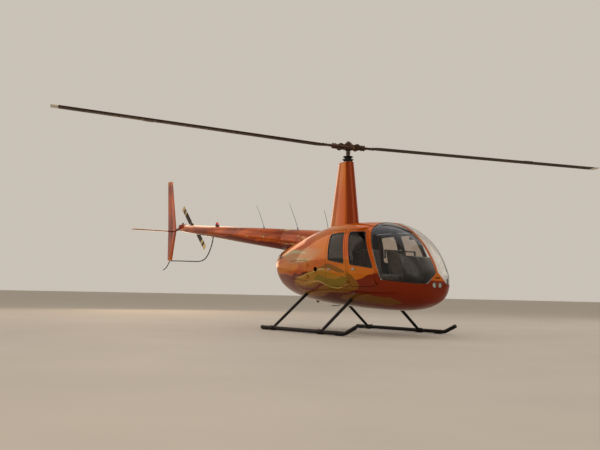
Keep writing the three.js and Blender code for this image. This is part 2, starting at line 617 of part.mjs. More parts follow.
addPiece('swashplate_lower', join(
  ring(SWASH.radius, SWASH.bore, SWASH.low, SWASH.low + SWASH.plate),
  ring(SWASH.collar, SWASH.bore, SWASH.low + SWASH.plate - 1, SWASH.split),
  ...CONTROL_ROD.angles.map((degrees) => {
    const angle = THREE.MathUtils.degToRad(degrees);
    const [x, y] = [Math.cos(angle) * CONTROL_ROD.circle, Math.sin(angle) * CONTROL_ROD.circle];
    const [low, high] = [FAIRING.top + SEAT_GAP, SWASH.low + 5];
    return bar([x, y, low], [x, y, high], CONTROL_ROD.radius, CONTROL_ROD.radius, 10);
  }),
), BLACK);

// Main rotor: shaft, upper swashplate with its links, hub and two blades
const mainRotor = new THREE.Group();
mainRotor.rotation.z = THREE.MathUtils.degToRad(ROTOR_AZIMUTH);
airframe.add(mainRotor);
const HORN = { x: 25, link: 40, root: 242, y: 122, z: -12, radius: 12 };
const BLADES = [{ name: 'a', way: 0, cone: DROOP }, { name: 'b', way: 180, cone: RISE }];
const hornBar = (grow) => bar(
  [HORN.root, HORN.y, HORN.z], [HORN.x - grow, HORN.y, HORN.z], HORN.radius + grow, HORN.radius + grow, 12);
const atBlade = (geometry, { way, cone }) => geometry
  .translate(-HUB.pinX, 0, 0)
  .rotateY(THREE.MathUtils.degToRad(-cone))
  .translate(HUB.pinX, 0, HUB_Z)
  .rotateZ(THREE.MathUtils.degToRad(way));
const plateMiddle = SWASH.high + SWASH.plate / 2;
const upperPlate = cut(
  join(
    ring(SWASH.radius - 4, SWASH.bore, SWASH.high, SWASH.high + SWASH.plate),
    ring(SWASH.collar - 4, SWASH.bore, SWASH.split + SEAT_GAP, SWASH.high + 1),
    ...[1, -1].flatMap((way) => [
      bar([way * HORN.link, way * 80, plateMiddle], [way * HORN.link, way * HORN.y, plateMiddle], 10, 10, 10),
      bar([way * HORN.link, way * HORN.y, plateMiddle - 12],
        [way * HORN.link, way * HORN.y, HUB_Z + HORN.z], 9, 9, 10),
    ]),
  ),
  ...BLADES.map((blade) => atBlade(hornBar(SEAT_GAP), blade)),
  ...BLADES.map((blade) => atBlade(
    box(HORN.x - 60, HORN.root, HORN.y - 60, HORN.y + 60, HORN.z, HORN.z + 80), blade)),
);
addPiece('rotor_shaft', bar([0, 0, FAIRING.top + SEAT_GAP], [0, 0, HUB_Z - HUB.sleeve - SEAT_GAP],
  SHAFT_RADIUS, SHAFT_RADIUS, 20), STEEL, mainRotor);
addPiece('swashplate_upper_with_links', upperPlate, BLACK, mainRotor);
const earX = [HUB.pinX, -HUB.pinX];
const yoke = cut(
  join(
    box(-HUB.half, HUB.half, -HUB.width / 2, HUB.width / 2, -HUB.height / 2, HUB.height / 2),
    ...earX.map((x) => bar([x, -HUB.width / 2, 0], [x, HUB.width / 2, 0], HUB.ear, HUB.ear, 20)),
  ),
  ...[1, -1].map((way) => {
    const [x0, x1] = [way * HUB.slotFrom, way * 300].sort((a, b) => a - b);
    return box(x0, x1, -HUB.slotHalf, HUB.slotHalf, -100, 100);
  }),
);
const hub = join(
  yoke,
  bar([0, 0, -HUB.sleeve], [0, 0, HUB.crown], 52, 40, 20),
  bar([0, -HUB.teeterHalf, HUB.teeterZ], [0, HUB.teeterHalf, HUB.teeterZ],
    HUB.teeterRadius, HUB.teeterRadius, 16),
  ...earX.map((x) => bar([x, -HUB.pinHalf, 0], [x, HUB.pinHalf, 0], HUB.pinRadius, HUB.pinRadius, 16)),
);
addPiece('rotor_hub', toSolid(toGeometry(hub).translate(0, 0, HUB_Z)), BROWN, mainRotor);

// A blade along +X with its leading edge towards +Y, from its root fitting out to the tip
function aerofoil(chord, thickness, count = 7) {
  const upper = [];
  for (let i = 0; i <= count; i += 1) {
    const t = (1 - Math.cos((i / count) * Math.PI)) / 2;
    const rise = 0.2969 * Math.sqrt(t) - 0.126 * t - 0.3516 * t * t + 0.2843 * t ** 3 - 0.1036 * t ** 4;
    upper.push([t, 5 * thickness * rise]);
  }
  const lower = upper.slice(1, -1).reverse().map(([t, y]) => [t, -y]);
  return [...upper, ...lower].map(([t, y]) => [chord * (0.25 - t), y]);
}

function bladeWing(rootX) {
  const ringAt = (x, share) => aerofoil(BLADE_CHORD * share, BLADE_THICKNESS * share)
    .map(([y, z]) => new THREE.Vector3(x, y, z));
  return loft([
    ringAt(rootX, 0.45),
    ringAt(rootX + 260, 1),
    ringAt(ROTOR_RADIUS - 30, 1),
    ringAt(ROTOR_RADIUS, 0.9),
  ]);
}

// Each blade's root: an eye on the hub's pin, a neck, and the thick cuff that holds the blade
const ROOT = {
  eye: 50, neck: 28, cuffFrom: 214, cuffTo: 300, cuff: 45, blade: 285, plateTo: 520, plateHalf: 48,
};
const PIN_HOLE = HUB.pinRadius + SEAT_GAP;
const eyeHalf = HUB.slotHalf - SEAT_GAP;
const TAB = { from: 3380, to: 3560, front: -180, rear: -212, half: 1.5 };
BLADES.forEach((blade) => {
  const root = join(
    bladeWing(ROOT.blade),
    box(TAB.from, TAB.to, TAB.rear, TAB.front, -TAB.half, TAB.half),
    bar([HUB.pinX, -eyeHalf, 0], [HUB.pinX, eyeHalf, 0], ROOT.eye, ROOT.eye, 20),
    bar([HUB.pinX, 0, 0], [ROOT.cuffFrom + 4, 0, 0], ROOT.neck, ROOT.neck, 16),
    bar([ROOT.cuffFrom, 0, 0], [ROOT.cuffTo, 0, 0], ROOT.cuff, ROOT.cuff - 4, 20),
    box(ROOT.blade - 20, ROOT.plateTo, -ROOT.plateHalf, ROOT.plateHalf, -15, 15),
    bar([ROOT.cuffTo - 25, 25, 0], [HORN.root - 7, HORN.y, HORN.z], 15, 12, 12),
    hornBar(0),
  );
  const arm = new THREE.Group();
  arm.rotation.z = THREE.MathUtils.degToRad(blade.way);
  arm.position.z = HUB_Z;
  mainRotor.add(arm);
  const pivot = new THREE.Group();
  pivot.position.x = HUB.pinX;
  pivot.rotation.y = THREE.MathUtils.degToRad(-blade.cone);
  arm.add(pivot);
  const pinHole = bar([HUB.pinX, -90, 0], [HUB.pinX, 90, 0], PIN_HOLE, PIN_HOLE, 16);
  const piece = addPiece(`rotor_blade_${blade.name}`, cut(root, pinHole), BROWN, pivot);
  piece.position.x = -HUB.pinX;
});

// Tail: gearbox, fins, stabilizer, guard and skid
const TAIL_X = TAIL_ROTOR.x;

// Fin sections: height, leading edge, trailing edge, thickness
function fin(rows, grow = 0) {
  return loft(rows.map(({ z, lead, trail, thick }) => {
    const chord = lead - trail + 2 * grow;
    const front = lead + grow - 0.25 * chord;
    return aerofoil(chord, thick + 4 * grow).map(([c, y]) => new THREE.Vector3(front + c, y, z));
  }));
}
const FIN_Z = 2030;
const UPPER_FIN = [
  { z: FIN_Z + SEAT_GAP, lead: -6222, trail: -6630, thick: 42 },
  { z: 3190, lead: -6480, trail: -6712, thick: 26 },
  { z: 3217, lead: -6496, trail: -6706, thick: 14 },
];
const LOWER_FIN = [
  { z: FIN_Z, lead: -6222, trail: -6630, thick: 42 },
  { z: 1350, lead: -6385, trail: -6618, thick: 28 },
  { z: 1327, lead: -6396, trail: -6608, thick: 16 },
];
addPiece('fin_upper', fin(UPPER_FIN), ORANGE);
addPiece('fin_lower', fin(LOWER_FIN), ORANGE);
const bothFins = join(fin(UPPER_FIN, SEAT_GAP), fin(LOWER_FIN, SEAT_GAP));
const belowFin = box(-6640, -6300, -60, 60, 1327 - SEAT_GAP, 1500);

const gearbox = join(
  bar([BOOM.rear, 0, boomZ(BOOM.rear)], [-5960, 0, boomZ(-5960)], 78, 66, 20),
  new THREE.SphereGeometry(92, 14, 8).scale(1, 0.95, 0.9).translate(TAIL_X - 25, 0, TAIL_ROTOR.z - 14),
  bar([TAIL_X, 40, TAIL_ROTOR.z], [TAIL_X, 178, TAIL_ROTOR.z], 44, 30, 16),
  bar([TAIL_X - 70, 0, TAIL_ROTOR.z - 30], [-6290, 0, FIN_Z], 36, 30, 14),
);
addPiece('tail_gearbox', cut(gearbox, boomCone(-5500, BOOM.rear - SEAT_GAP, SEAT_GAP), bothFins), RED);
const stabilizerRing = (y, lead, trail, thick) => {
  const chord = lead - trail;
  return aerofoil(chord, thick).map(([c, z]) => new THREE.Vector3(lead - 0.25 * chord + c, y, 2010 + z));
};
const gearboxArm = bar([-6000, 0, FIN_Z + 5], [-6300, 0, FIN_Z - 1], 40, 40, 14);
addPiece('horizontal_stabilizer', cut(loft([
  stabilizerRing(-12, -6300, -6560, 30),
  stabilizerRing(-1000, -6300, -6560, 30),
  stabilizerRing(-1020, -6310, -6550, 22),
]), bothFins, gearboxArm), RED);

const GUARD_RADIUS = 12;
addPiece('tail_rotor_guard', cut(bentBar([
  [-4520, 0, 1840], [-4560, 0, 1680], [-4680, 0, 1480], [-4840, 0, 1345],
  [-5070, 0, 1287], [-5500, 0, 1292], [-6000, 0, 1308], [-6470, 0, 1319],
], GUARD_RADIUS, 18, 8), boomCone(BOOM.front, BOOM.rear, SEAT_GAP), belowFin), BLACK);
addPiece('tail_skid', cut(bentBar([
  [-6500, 0, 1322], [-6540, 0, 1278], [-6620, 0, 1200], [-6720, 0, 1140], [-6815, 0, 1108],
], 11, 9, 8), belowFin), BLACK);

const tailRotor = new THREE.Group();
tailRotor.position.set(TAIL_ROTOR.x, TAIL_ROTOR.y, TAIL_ROTOR.z);
tailRotor.rotation.y = THREE.MathUtils.degToRad(-TAIL_ROTOR.tilt);
airframe.add(tailRotor);
addPiece('tail_rotor_hub', join(
  bar([0, 178 - TAIL_ROTOR.y + SEAT_GAP, 0], [0, 46, 0], 22, 22, 18),
  box(-30, 30, -24, 24, -120, 120),
), BROWN, tailRotor);
[{ name: 'a', way: 0 }, { name: 'b', way: 180 }].forEach((blade) => {
  const ringAt = (z, chord, thick) => aerofoil(chord, thick).map(([x, y]) => new THREE.Vector3(x, y, z));
  const shape = join(
    loft([
      ringAt(150, 70, 22),
      ringAt(230, TAIL_ROTOR.chord, 17),
      ringAt(TAIL_ROTOR.radius - 20, TAIL_ROTOR.chord, 14),
      ringAt(TAIL_ROTOR.radius, 110, 10),
    ]),
    bar([0, 0, 120 + SEAT_GAP], [0, 0, 215], 20, 12, 14),
  );
  const arm = new THREE.Group();
  arm.rotation.y = THREE.MathUtils.degToRad(blade.way);
  tailRotor.add(arm);
  addPiece(`tail_rotor_blade_${blade.name}`, shape, BLACK, arm);
});

// Boom top: whip antennas and the beacon
const ANTENNAS = [
  { name: 'rear', x: -2560, topX: -2840, topZ: 2370 },
  { name: 'middle', x: -1430, topX: -1720, topZ: 2340 },
  { name: 'front', x: -510, topX: -640, topZ: 2135 },
];
const boomTop = (x) => boomZ(x) + boomRadius(x);
ANTENNAS.forEach((antenna) => {
  const foot = [antenna.x, 0, boomTop(antenna.x) - 12];
  const knee = [antenna.x - 12, 0, boomTop(antenna.x) + 45];
  const whip = join(bar(foot, knee, 15, 9, 12), bar(knee, [antenna.topX, 0, antenna.topZ], 4.5, 3, 8));
  const mounted = cut(whip, clearBody, boomCone(BOOM.ridge, BOOM.rear, SEAT_GAP));
  addPiece(`antenna_${antenna.name}`, mounted, BLACK);
});
const BEACON_X = -4370;
addPiece('beacon', cut(join(
  bar([BEACON_X, 0, boomTop(BEACON_X) - 20], [BEACON_X, 0, boomTop(BEACON_X) + 38], 42, 38, 18),
  bar([BEACON_X, 0, boomTop(BEACON_X) + 36], [BEACON_X, 0, boomTop(BEACON_X) + 88], 30, 18, 18),
), boomCone(BOOM.front, BOOM.rear, SEAT_GAP)), RED);

// Lamps: two landing lamps low in the nose and a position lamp on each side
const lampBody = lampBars(0).reduce((all, lamp) => all.add(toSolid(lamp)),
  toSolid(box(LAMP.back, LAMP.back + 30, -LAMP.y, LAMP.y, LAMP.z - 12, LAMP.z + 12)));
addPiece('landing_lamps', lampBody.intersect(bodyLoft(-3)), GLASS);
const POSITION_LAMP = { x: 890, z: 655, radius: 26 };
for (const side of SIDES) {
  const { x, z, radius } = POSITION_LAMP;
  const y = side.sign * skinY(x, z);
  const lamp = new THREE.SphereGeometry(radius, 10, 6).scale(1.6, 1, 0.8).translate(x, y, z);
  addPiece(`position_lamp_${side.name}`, cut(lamp, clearBody), RED);
}

// Landing gear: skids with wear shoes and ground-handling lugs, and four legs with saddles on the skids
const LUG = { ahead: 95, high: 52, radius: 13 };
const LEG_TOP_Y = 380;
const SADDLE = { half: 62, thick: 9 };
for (const side of SIDES) {
  const y = side.sign * SKID.y;
  const z = SKID.radius + SHOE.thickness;
  const tube = bentBar([
    [SKID.heel, y, z], [-300, y, z], [500, y, z], [1180, y, z],
    [SKID.bend, y, z + 6], [1400, y, z + 50], [SKID.toe, y, SKID.toeZ],
  ], SKID.radius, 12, 12);
  const shoes = [SKID.heel + 110, LEG.rearX, LEG.frontX, 1140].map((x) => box(
    x - SHOE.length / 2, x + SHOE.length / 2, y - SHOE.width / 2, y + SHOE.width / 2, 0, SHOE.thickness + 9));
  const lug = bar([LEG.rearX + LUG.ahead, y, z], [LEG.rearX + LUG.ahead, y, z + LUG.high], LUG.radius);
  addPiece(`skid_${side.name}`, join(tube, ...shoes, lug), BLACK);
  for (const leg of [{ name: 'rear', x: LEG.rearX }, { name: 'front', x: LEG.frontX }]) {
    const foot = new THREE.Vector3(leg.x, y - side.sign * 10, z + 6);
    const rise = (Math.abs(foot.y) - LEG_TOP_Y) * LEG.slope;
    const top = new THREE.Vector3(leg.x, side.sign * LEG_TOP_Y, foot.z + rise);
    const length = foot.distanceTo(top);
    const strut = new THREE.CylinderGeometry(0.5, 0.5, length, 12).scale(LEG.chord, 1, LEG.thickness);
    const turn = new THREE.Quaternion().setFromUnitVectors(
      new THREE.Vector3(0, 1, 0), top.clone().sub(foot).normalize());
    strut.applyQuaternion(turn);
    strut.translate((foot.x + top.x) / 2, (foot.y + top.y) / 2, (foot.z + top.z) / 2);
    const [rear, front] = [leg.x - SADDLE.half, leg.x + SADDLE.half];
    const saddle = bar([rear, y, z], [front, y, z], SKID.radius + SADDLE.thick);
    const clearRadius = SKID.radius + SEAT_GAP;
    const clearTube = bar([leg.x - 300, y, z], [leg.x + 300, y, z], clearRadius);
    const below = box(leg.x - 200, leg.x + 200, y - 120, y + 120, -50, z - 8);
    addPiece(`leg_${leg.name}_${side.name}`, cut(join(strut, saddle), clearTube, below, clearBody), BLACK);
  }
}

helicopter.userData.joints = joints;
export default helicopter;
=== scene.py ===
import json
import math

import bpy
import numpy as np
from mathutils import Matrix, Vector


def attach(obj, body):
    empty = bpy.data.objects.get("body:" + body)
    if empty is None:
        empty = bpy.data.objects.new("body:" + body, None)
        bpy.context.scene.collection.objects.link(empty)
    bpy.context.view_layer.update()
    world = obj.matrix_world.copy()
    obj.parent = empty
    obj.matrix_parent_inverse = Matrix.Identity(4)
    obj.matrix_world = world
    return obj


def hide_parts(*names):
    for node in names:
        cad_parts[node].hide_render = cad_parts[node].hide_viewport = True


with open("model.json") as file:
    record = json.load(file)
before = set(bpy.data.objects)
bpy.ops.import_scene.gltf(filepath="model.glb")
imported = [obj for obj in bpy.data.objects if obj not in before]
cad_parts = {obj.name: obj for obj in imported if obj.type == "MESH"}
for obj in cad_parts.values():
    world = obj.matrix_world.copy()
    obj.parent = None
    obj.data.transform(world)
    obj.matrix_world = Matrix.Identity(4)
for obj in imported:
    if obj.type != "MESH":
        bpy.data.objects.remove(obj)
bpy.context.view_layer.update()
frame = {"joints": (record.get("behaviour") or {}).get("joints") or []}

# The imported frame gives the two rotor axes; every station below is measured forward of the mast, as on
# the maker's drawings of such an aircraft, and heights are measured from the ground.
joints = {joint["name"]: joint for joint in frame["joints"]}
MAST = joints["main_rotor_spin"]["pos_m"][0]
TAIL_AXIS = Vector(joints["tail_rotor_spin"]["pos_m"])

# Camera: it stands low on the ground, ahead of the helicopter and to its right, and looks slightly up.
# Its place and turn come from fitting the known sizes of the aircraft to the photograph.
EYE = Vector((MAST + 10.837, -9.121, 0.684))
HEADING = math.radians(53.225)
PITCH = math.radians(4.586)
ROLL = math.radians(1.162)
FOCAL_PIXELS = 814.2
PHOTO_WIDTH = 600
ahead = Vector((-math.sin(HEADING) * math.cos(PITCH), math.cos(HEADING) * math.cos(PITCH), math.sin(PITCH)))
level = Vector((math.cos(HEADING), math.sin(HEADING), 0))
above = level.cross(ahead)
across = level * math.cos(ROLL) + above * math.sin(ROLL)
upward = above * math.cos(ROLL) - level * math.sin(ROLL)
bpy.ops.object.camera_add(location=EYE)
camera = bpy.context.object
camera.rotation_euler = Matrix((across, upward, -ahead)).transposed().to_euler()
camera.data.sensor_width = 36
camera.data.lens = FOCAL_PIXELS / PHOTO_WIDTH * camera.data.sensor_width
camera.data.clip_end = 400
bpy.context.scene.camera = camera


# Floor and light: a wide pale floor, a pale even surround and soft lamps, with the warmest one low at the
# back left, where the light comes from in the photograph.
def new_material(name):
    made = bpy.data.materials.new(name)
    made.use_nodes = True
    return made


def put(made, kind, inputs=None, **settings):
    shader_node = made.node_tree.nodes.new(kind)
    for key, value in settings.items():
        setattr(shader_node, key, value)
    for key, value in (inputs or {}).items():
        shader_node.inputs[key].default_value = value
    return shader_node


def wire(made, start, end):
    made.node_tree.links.new(start, end)


def shader(made, **inputs):
    surface = made.node_tree.nodes["Principled BSDF"]
    for key, value in inputs.items():
        surface.inputs[key.replace("_", " ")].default_value = value
    return surface


def deselect():
    bpy.ops.object.select_all(action="DESELECT")


def select_only(piece):
    deselect()
    piece.select_set(True)
    bpy.context.view_layer.objects.active = piece


def apply_place():
    bpy.ops.object.transform_apply(location=True, rotation=True, scale=True)


def named(name):
    made = bpy.context.object
    made.name = name
    made.data.name = name
    return made


FLOOR_RADIUS = 90
FLOOR_CLEARANCE = 0.002
deselect()
bpy.ops.mesh.primitive_circle_add(
    vertices=96, radius=FLOOR_RADIUS, fill_type="NGON", location=(MAST, 0, -FLOOR_CLEARANCE))
apply_place()
floor = named("floor")
floor_paint = new_material("pale_floor")
floor_surface = shader(floor_paint, Roughness=0.75)
floor_noise = put(floor_paint, "ShaderNodeTexNoise", {"Scale": 0.6, "Detail": 5})
floor_tone = put(floor_paint, "ShaderNodeValToRGB")
floor_tone.color_ramp.elements[0].color = (0.43, 0.38, 0.32, 1)
floor_tone.color_ramp.elements[1].color = (0.52, 0.46, 0.39, 1)
floor_place = put(floor_paint, "ShaderNodeTexCoord")
wire(floor_paint, floor_place.outputs["Object"], floor_noise.inputs["Vector"])
wire(floor_paint, floor_noise.outputs["Fac"], floor_tone.inputs["Fac"])
wire(floor_paint, floor_tone.outputs["Color"], floor_surface.inputs["Base Color"])
floor.data.materials.append(floor_paint)

LAMPS = [
    # name, place forward of the mast, size, power, tint
    ("front_softbox", (10, -11, 9), 12, 560, (1, 0.93, 0.84)),
    ("top_softbox", (-1, 1, 11), 12, 380, (0.80, 0.87, 1)),
    ("side_softbox", (-10.5, -6.5, 5.6), 7.5, 180, (1, 0.86, 0.74)),
    ("warm_back_light", (-12, 2.5, 3.6), 5, 150, (1, 0.74, 0.48)),
    ("left_softbox", (3, 12, 6), 8, 220, (1, 0.91, 0.80)),
]
LIGHT_AIM = Vector((MAST - 0.5, 0, 1.3))
for name, place, size, power, tint in LAMPS:
    bpy.ops.object.light_add(type="AREA", location=Vector(place) + Vector((MAST, 0, 0)))
    light = named(name)
    light.data.size = size
    light.data.energy = power
    light.data.color = tint
    toward = LIGHT_AIM - light.location
    light.rotation_euler = toward.to_track_quat("-Z", "Y").to_euler()
world = bpy.data.worlds.new("pale_surround")
world.use_nodes = True
world.node_tree.nodes["Background"].inputs["Color"].default_value = (0.92, 0.84, 0.74, 1)
world.node_tree.nodes["Background"].inputs["Strength"].default_value = 0.64
bpy.context.scene.world = world
bpy.context.scene.view_settings.view_transform = "Standard"


# Body paint: a sprayed clear-coated finish, orange above and deep red below with a wavy edge between them,
# and gold, amber and olive waves along the middle of each side. The red below and its wavy edge are partly
# the paint's two tones and partly a painted reflection of the dark ground and the horizon. The red darkens
# towards the belly as painted shade. Pale waves high on the rear are partly a painted reflection of the sky,
# and thin bright gold lines are partly painted highlights.
ORANGE = (0.45, 0.072, 0.002, 1)
AMBER = (0.53, 0.145, 0.006, 1)
RED_ORANGE = (0.175, 0.014, 0.001, 1)
DEEP_RED = (0.125, 0.007, 0.001, 1)
DARK_RED = (0.045, 0.003, 0.001, 1)
RUST = (0.21, 0.024, 0.001, 1)


def object_axes(made):
    place = put(made, "ShaderNodeTexCoord")
    split = put(made, "ShaderNodeSeparateXYZ")
    wire(made, place.outputs["Object"], split.inputs["Vector"])
    return place.outputs["Object"], split.outputs["X"], split.outputs["Y"], split.outputs["Z"]


def combine(made, operation, first, second=None, third=None):
    step = put(made, "ShaderNodeMath", operation=operation)
    for socket, value in zip(step.inputs, (first, second, third)):
        if value is None:
            continue
        if isinstance(value, (int, float)):
            socket.default_value = value
        else:
            wire(made, value, socket)
    return step.outputs["Value"]


def blend_colours(made, share, first, second):
    mix = put(made, "ShaderNodeMix", data_type="RGBA")
    wire(made, share, mix.inputs["Factor"])
    for socket, value in ((mix.inputs[6], first), (mix.inputs[7], second)):
        if isinstance(value, tuple):
            socket.default_value = value
        else:
            wire(made, value, socket)
    return mix.outputs[2]


def edge_between(made, value, low, high):
    step = put(
        made, "ShaderNodeMapRange", {"From Min": low, "From Max": high}, interpolation_type="SMOOTHSTEP")
    wire(made, value, step.inputs["Value"])
    return step.outputs["Result"]


def tones(made, value, low, high, first, second):
    """The first colour where the value is below low, the second where it is above high."""
    return blend_colours(made, edge_between(made, value, low, high), first, second)


def noise_value(made, place, scale, detail, stretch=(1, 1, 1), offset=(0, 0, 0)):
    mapping = put(made, "ShaderNodeMapping", {"Scale": stretch, "Location": offset})
    texture = put(made, "ShaderNodeTexNoise", {"Scale": scale, "Detail": detail})
    wire(made, place, mapping.inputs["Vector"])
    wire(made, mapping.outputs["Vector"], texture.inputs["Vector"])
    return texture.outputs["Fac"]


def raise_grain(made, surface, height, strength, distance):
    """A fine relief on the finish, from this height."""
    bump = put(made, "ShaderNodeBump", {"Strength": strength, "Distance": distance})
    wire(made, height, bump.inputs["Height"])
    wire(made, bump.outputs["Normal"], surface.inputs["Normal"])


def coat_and_peel(made, place, rough=0.2, coat=0.13):
    """Clear coat over the colour, with a faint orange peel and slightly uneven gloss."""
    # the paint's own reflections are tinted orange: a painted warm reflection
    surface = shader(
        made, Metallic=0.2, Specular_IOR_Level=0.28, Specular_Tint=(1, 0.55, 0.28, 1), Coat_Weight=coat,
        Coat_Roughness=0.05)
    raise_grain(made, surface, noise_value(made, place, 60, 2), 0.02, 0.002)
    smear = noise_value(made, place, 2.4, 4, offset=(3, 1, 2))
    wire(made, edge_between(made, smear, 0.5 - 2.5 * rough, 3.2), surface.inputs["Roughness"])
    return surface


# colour; (station, height) of the middle; half length, half height; waves per metre, phase and rise; softness
RIBBONS = [
    ((0.58, 0.165, 0.002, 1), (-1.30, 1.100), (0.66, 0.088), (5.0, 0.0, 0.018), 0.10),
    # the three pale tan and olive waves high on the rear side: partly the design, partly a painted reflection
    # of the sky on the shoulder
    ((0.45, 0.205, 0.085, 1), (-0.72, 1.310), (0.72, 0.130), (3.4, 1.0, 0.040), 0.60),
    ((0.40, 0.360, 0.200, 1), (-0.86, 1.345), (0.46, 0.030), (6.5, 0.5, 0.032), 0.25),
    ((0.36, 0.290, 0.130, 1), (-0.58, 1.235), (0.40, 0.018), (7.0, 2.0, 0.030), 0.20),
    ((0.21, 0.080, 0.004, 1), (0.06, 0.825), (0.98, 0.235), (3.3, 0.4, 0.062), 0.06),
    ((0.34, 0.155, 0.009, 1), (-0.06, 0.905), (0.78, 0.105), (4.1, 1.2, 0.055), 0.08),
    ((0.19, 0.125, 0.006, 1), (0.34, 0.855), (0.46, 0.085), (5.2, 2.6, 0.045), 0.08),
    (DEEP_RED, (-0.30, 0.760), (0.52, 0.026), (4.2, 0.3, 0.050), 0.10),
    # two thin bright gold lines in the waves: partly the design, partly painted highlights
    ((0.46, 0.300, 0.080, 1), (0.00, 0.985), (0.80, 0.014), (4.1, 1.2, 0.062), 0.15),
    ((0.44, 0.280, 0.070, 1), (0.16, 0.800), (0.70, 0.010), (4.7, 2.5, 0.055), 0.15),
    ((0.48, 0.150, 0.006, 1), (0.62, 1.010), (0.46, 0.030), (6.0, 0.8, 0.040), 0.10),
    ((0.17, 0.062, 0.003, 1), (1.10, 0.560), (0.66, 0.070), (2.6, 0.0, 0.025), 0.12),
]


def wave_paint(name):
    made = new_material(name)
    place, x, _, z = object_axes(made)
    station = combine(made, "SUBTRACT", x, MAST)
    swell = noise_value(made, place, 1.5, 1, (1, 0.15, 0.6), (0.4, 0, 0.2))
    ripple = noise_value(made, place, 3.4, 1, (1, 0.15, 1), (2.0, 0, 0))
    # the height of the wavy edge between the orange and the red, partly a painted reflection of the horizon
    edge = combine(made, "MULTIPLY_ADD", swell, 0.34, 0.735)
    edge = combine(made, "MULTIPLY_ADD", ripple, 0.12, edge)
    edge = combine(made, "MULTIPLY_ADD", station, -0.035, edge)
    over = edge_between(made, combine(made, "SUBTRACT", z, edge), -0.006, 0.006)
    tone = noise_value(made, place, 1.1, 2, (1, 0.3, 1.6), (5, 0, 1))
    upper = tones(made, tone, 0.40, 0.66, ORANGE, AMBER)
    # the red below: partly the paint's second tone, partly a painted reflection of the dark ground, and
    # darker towards the belly as painted shade
    lower = tones(made, z, 0.42, 0.80, DARK_RED, DEEP_RED)
    lower = tones(made, station, 0.3, 1.7, lower, RED_ORANGE)
    base = blend_colours(made, over, lower, upper)
    # ribbons that taper at both ends, laid over one another along the side
    height = combine(made, "MULTIPLY_ADD", ripple, 0.09, combine(made, "SUBTRACT", z, 0.045))
    for colour, middle, half, (waves, phase, rise), soft in RIBBONS:
        along = combine(made, "DIVIDE", combine(made, "SUBTRACT", station, middle[0]), half[0])
        wave = combine(made, "SINE", combine(made, "MULTIPLY_ADD", station, waves, phase))
        lift = combine(
            made, "SUBTRACT", combine(made, "SUBTRACT", height, middle[1]),
            combine(made, "MULTIPLY", wave, rise))
        up = combine(made, "DIVIDE", lift, half[1])
        reach = combine(made, "MULTIPLY_ADD", along, along, combine(made, "MULTIPLY", up, up))
        base = tones(made, reach, 1 + soft, 1 - soft, base, colour)
    surface = coat_and_peel(made, place)
    wire(made, base, surface.inputs["Base Color"])
    return made


body_paint = wave_paint("orange_wave_paint")


# Body skin: the shell of an egg-shaped cabin and engine bay, riveted sheet and moulded panels over frames.
# Its sections are squared-off ellipses, given at stations along the body and joined by smooth curves.
BODY_ROWS = [
    # station, crown, keel, half width, height of the greatest width, squareness above and below it
    (-1.905, 1.185, 1.185, 0.000, 1.185, 2.0, 2.0),
    (-1.888, 1.300, 1.040, 0.120, 1.185, 2.0, 2.0),
    (-1.815, 1.370, 0.905, 0.205, 1.175, 2.2, 2.0),
    (-1.640, 1.450, 0.745, 0.300, 1.160, 2.3, 2.1),
    (-1.350, 1.535, 0.625, 0.390, 1.140, 2.4, 2.1),
    (-0.980, 1.635, 0.550, 0.482, 1.110, 2.5, 2.2),
    (-0.500, 1.740, 0.485, 0.568, 1.080, 2.8, 2.3),
    (0.000, 1.812, 0.445, 0.618, 1.050, 3.3, 2.4),
    (0.500, 1.832, 0.420, 0.640, 1.030, 3.7, 2.4),
    (0.950, 1.828, 0.400, 0.640, 1.010, 3.3, 2.4),
    (1.300, 1.785, 0.395, 0.622, 0.985, 3.0, 2.4),
    (1.600, 1.652, 0.405, 0.580, 0.950, 2.7, 2.3),
    (1.850, 1.453, 0.440, 0.500, 0.915, 2.5, 2.3),
    (2.045, 1.200, 0.510, 0.383, 0.880, 2.3, 2.3),
    (2.112, 1.085, 0.577, 0.303, 0.868, 2.2, 2.2),
    (2.148, 1.000, 0.667, 0.205, 0.862, 2.1, 2.1),
    (2.162, 0.865, 0.865, 0.000, 0.865, 2.0, 2.0),
]
STEPS_PER_ROW, FINE_STEPS = 8, 40
HALF_COLUMNS = 30


def smooth_curve(before, table, after, steps):
    """This many points from each row of the table to the next, on a Catmull-Rom curve."""
    padded = np.vstack([before, table, after])
    out = []
    for i in range(len(table) - 1):
        a, b, c, d = padded[i:i + 4]
        for t in np.arange(steps) / steps:
            out.append(0.5 * (
                2 * b + (c - a) * t + (2 * a - 5 * b + 4 * c - d) * t * t + (3 * b - a - 3 * c + d) * t ** 3))
    out.append(table[-1])
    return np.array(out)


body_rows = np.array(BODY_ROWS, float)
body_table = smooth_curve(body_rows[0], body_rows, body_rows[-1], FINE_STEPS)
skin_table = smooth_curve(body_rows[0], body_rows, body_rows[-1], STEPS_PER_ROW)


def body_at(x):
    """Crown, keel, half width, beam height and the two squarenesses at stations x, in the part's frame."""
    return [np.interp(np.asarray(x) - MAST, body_table[:, 0], body_table[:, k]) for k in range(1, 7)]


def skin_y(x, z):
    """Distance of the skin from the middle plane."""
    crown, keel, half, beam, top, low = body_at(x)
    power = np.where(z >= beam, top, low)
    reach = np.where(z >= beam, crown - beam, beam - keel)
    return half * np.maximum(0, 1 - np.abs((z - beam) / reach) ** power) ** (1 / power)


def skin_normals(points):
    """Outward normals of the body skin near the points."""
    def level_value(p):
        crown, keel, half, beam, top, low = body_at(p[:, 0])
        rise = p[:, 2] - beam
        power = np.where(rise >= 0, top, low)
        reach = np.where(rise >= 0, crown - beam, beam - keel)
        share = (np.abs(p[:, 1]) / np.maximum(half, 1e-4)) ** power
        return (share + np.abs(rise / np.maximum(reach, 1e-4)) ** power) ** (1 / power)
    step = 0.002
    slopes = np.stack(
        [level_value(points + step * axis) - level_value(points - step * axis) for axis in np.eye(3)], 1)
    return slopes / np.maximum(np.linalg.norm(slopes, axis=1, keepdims=True), 1e-9)


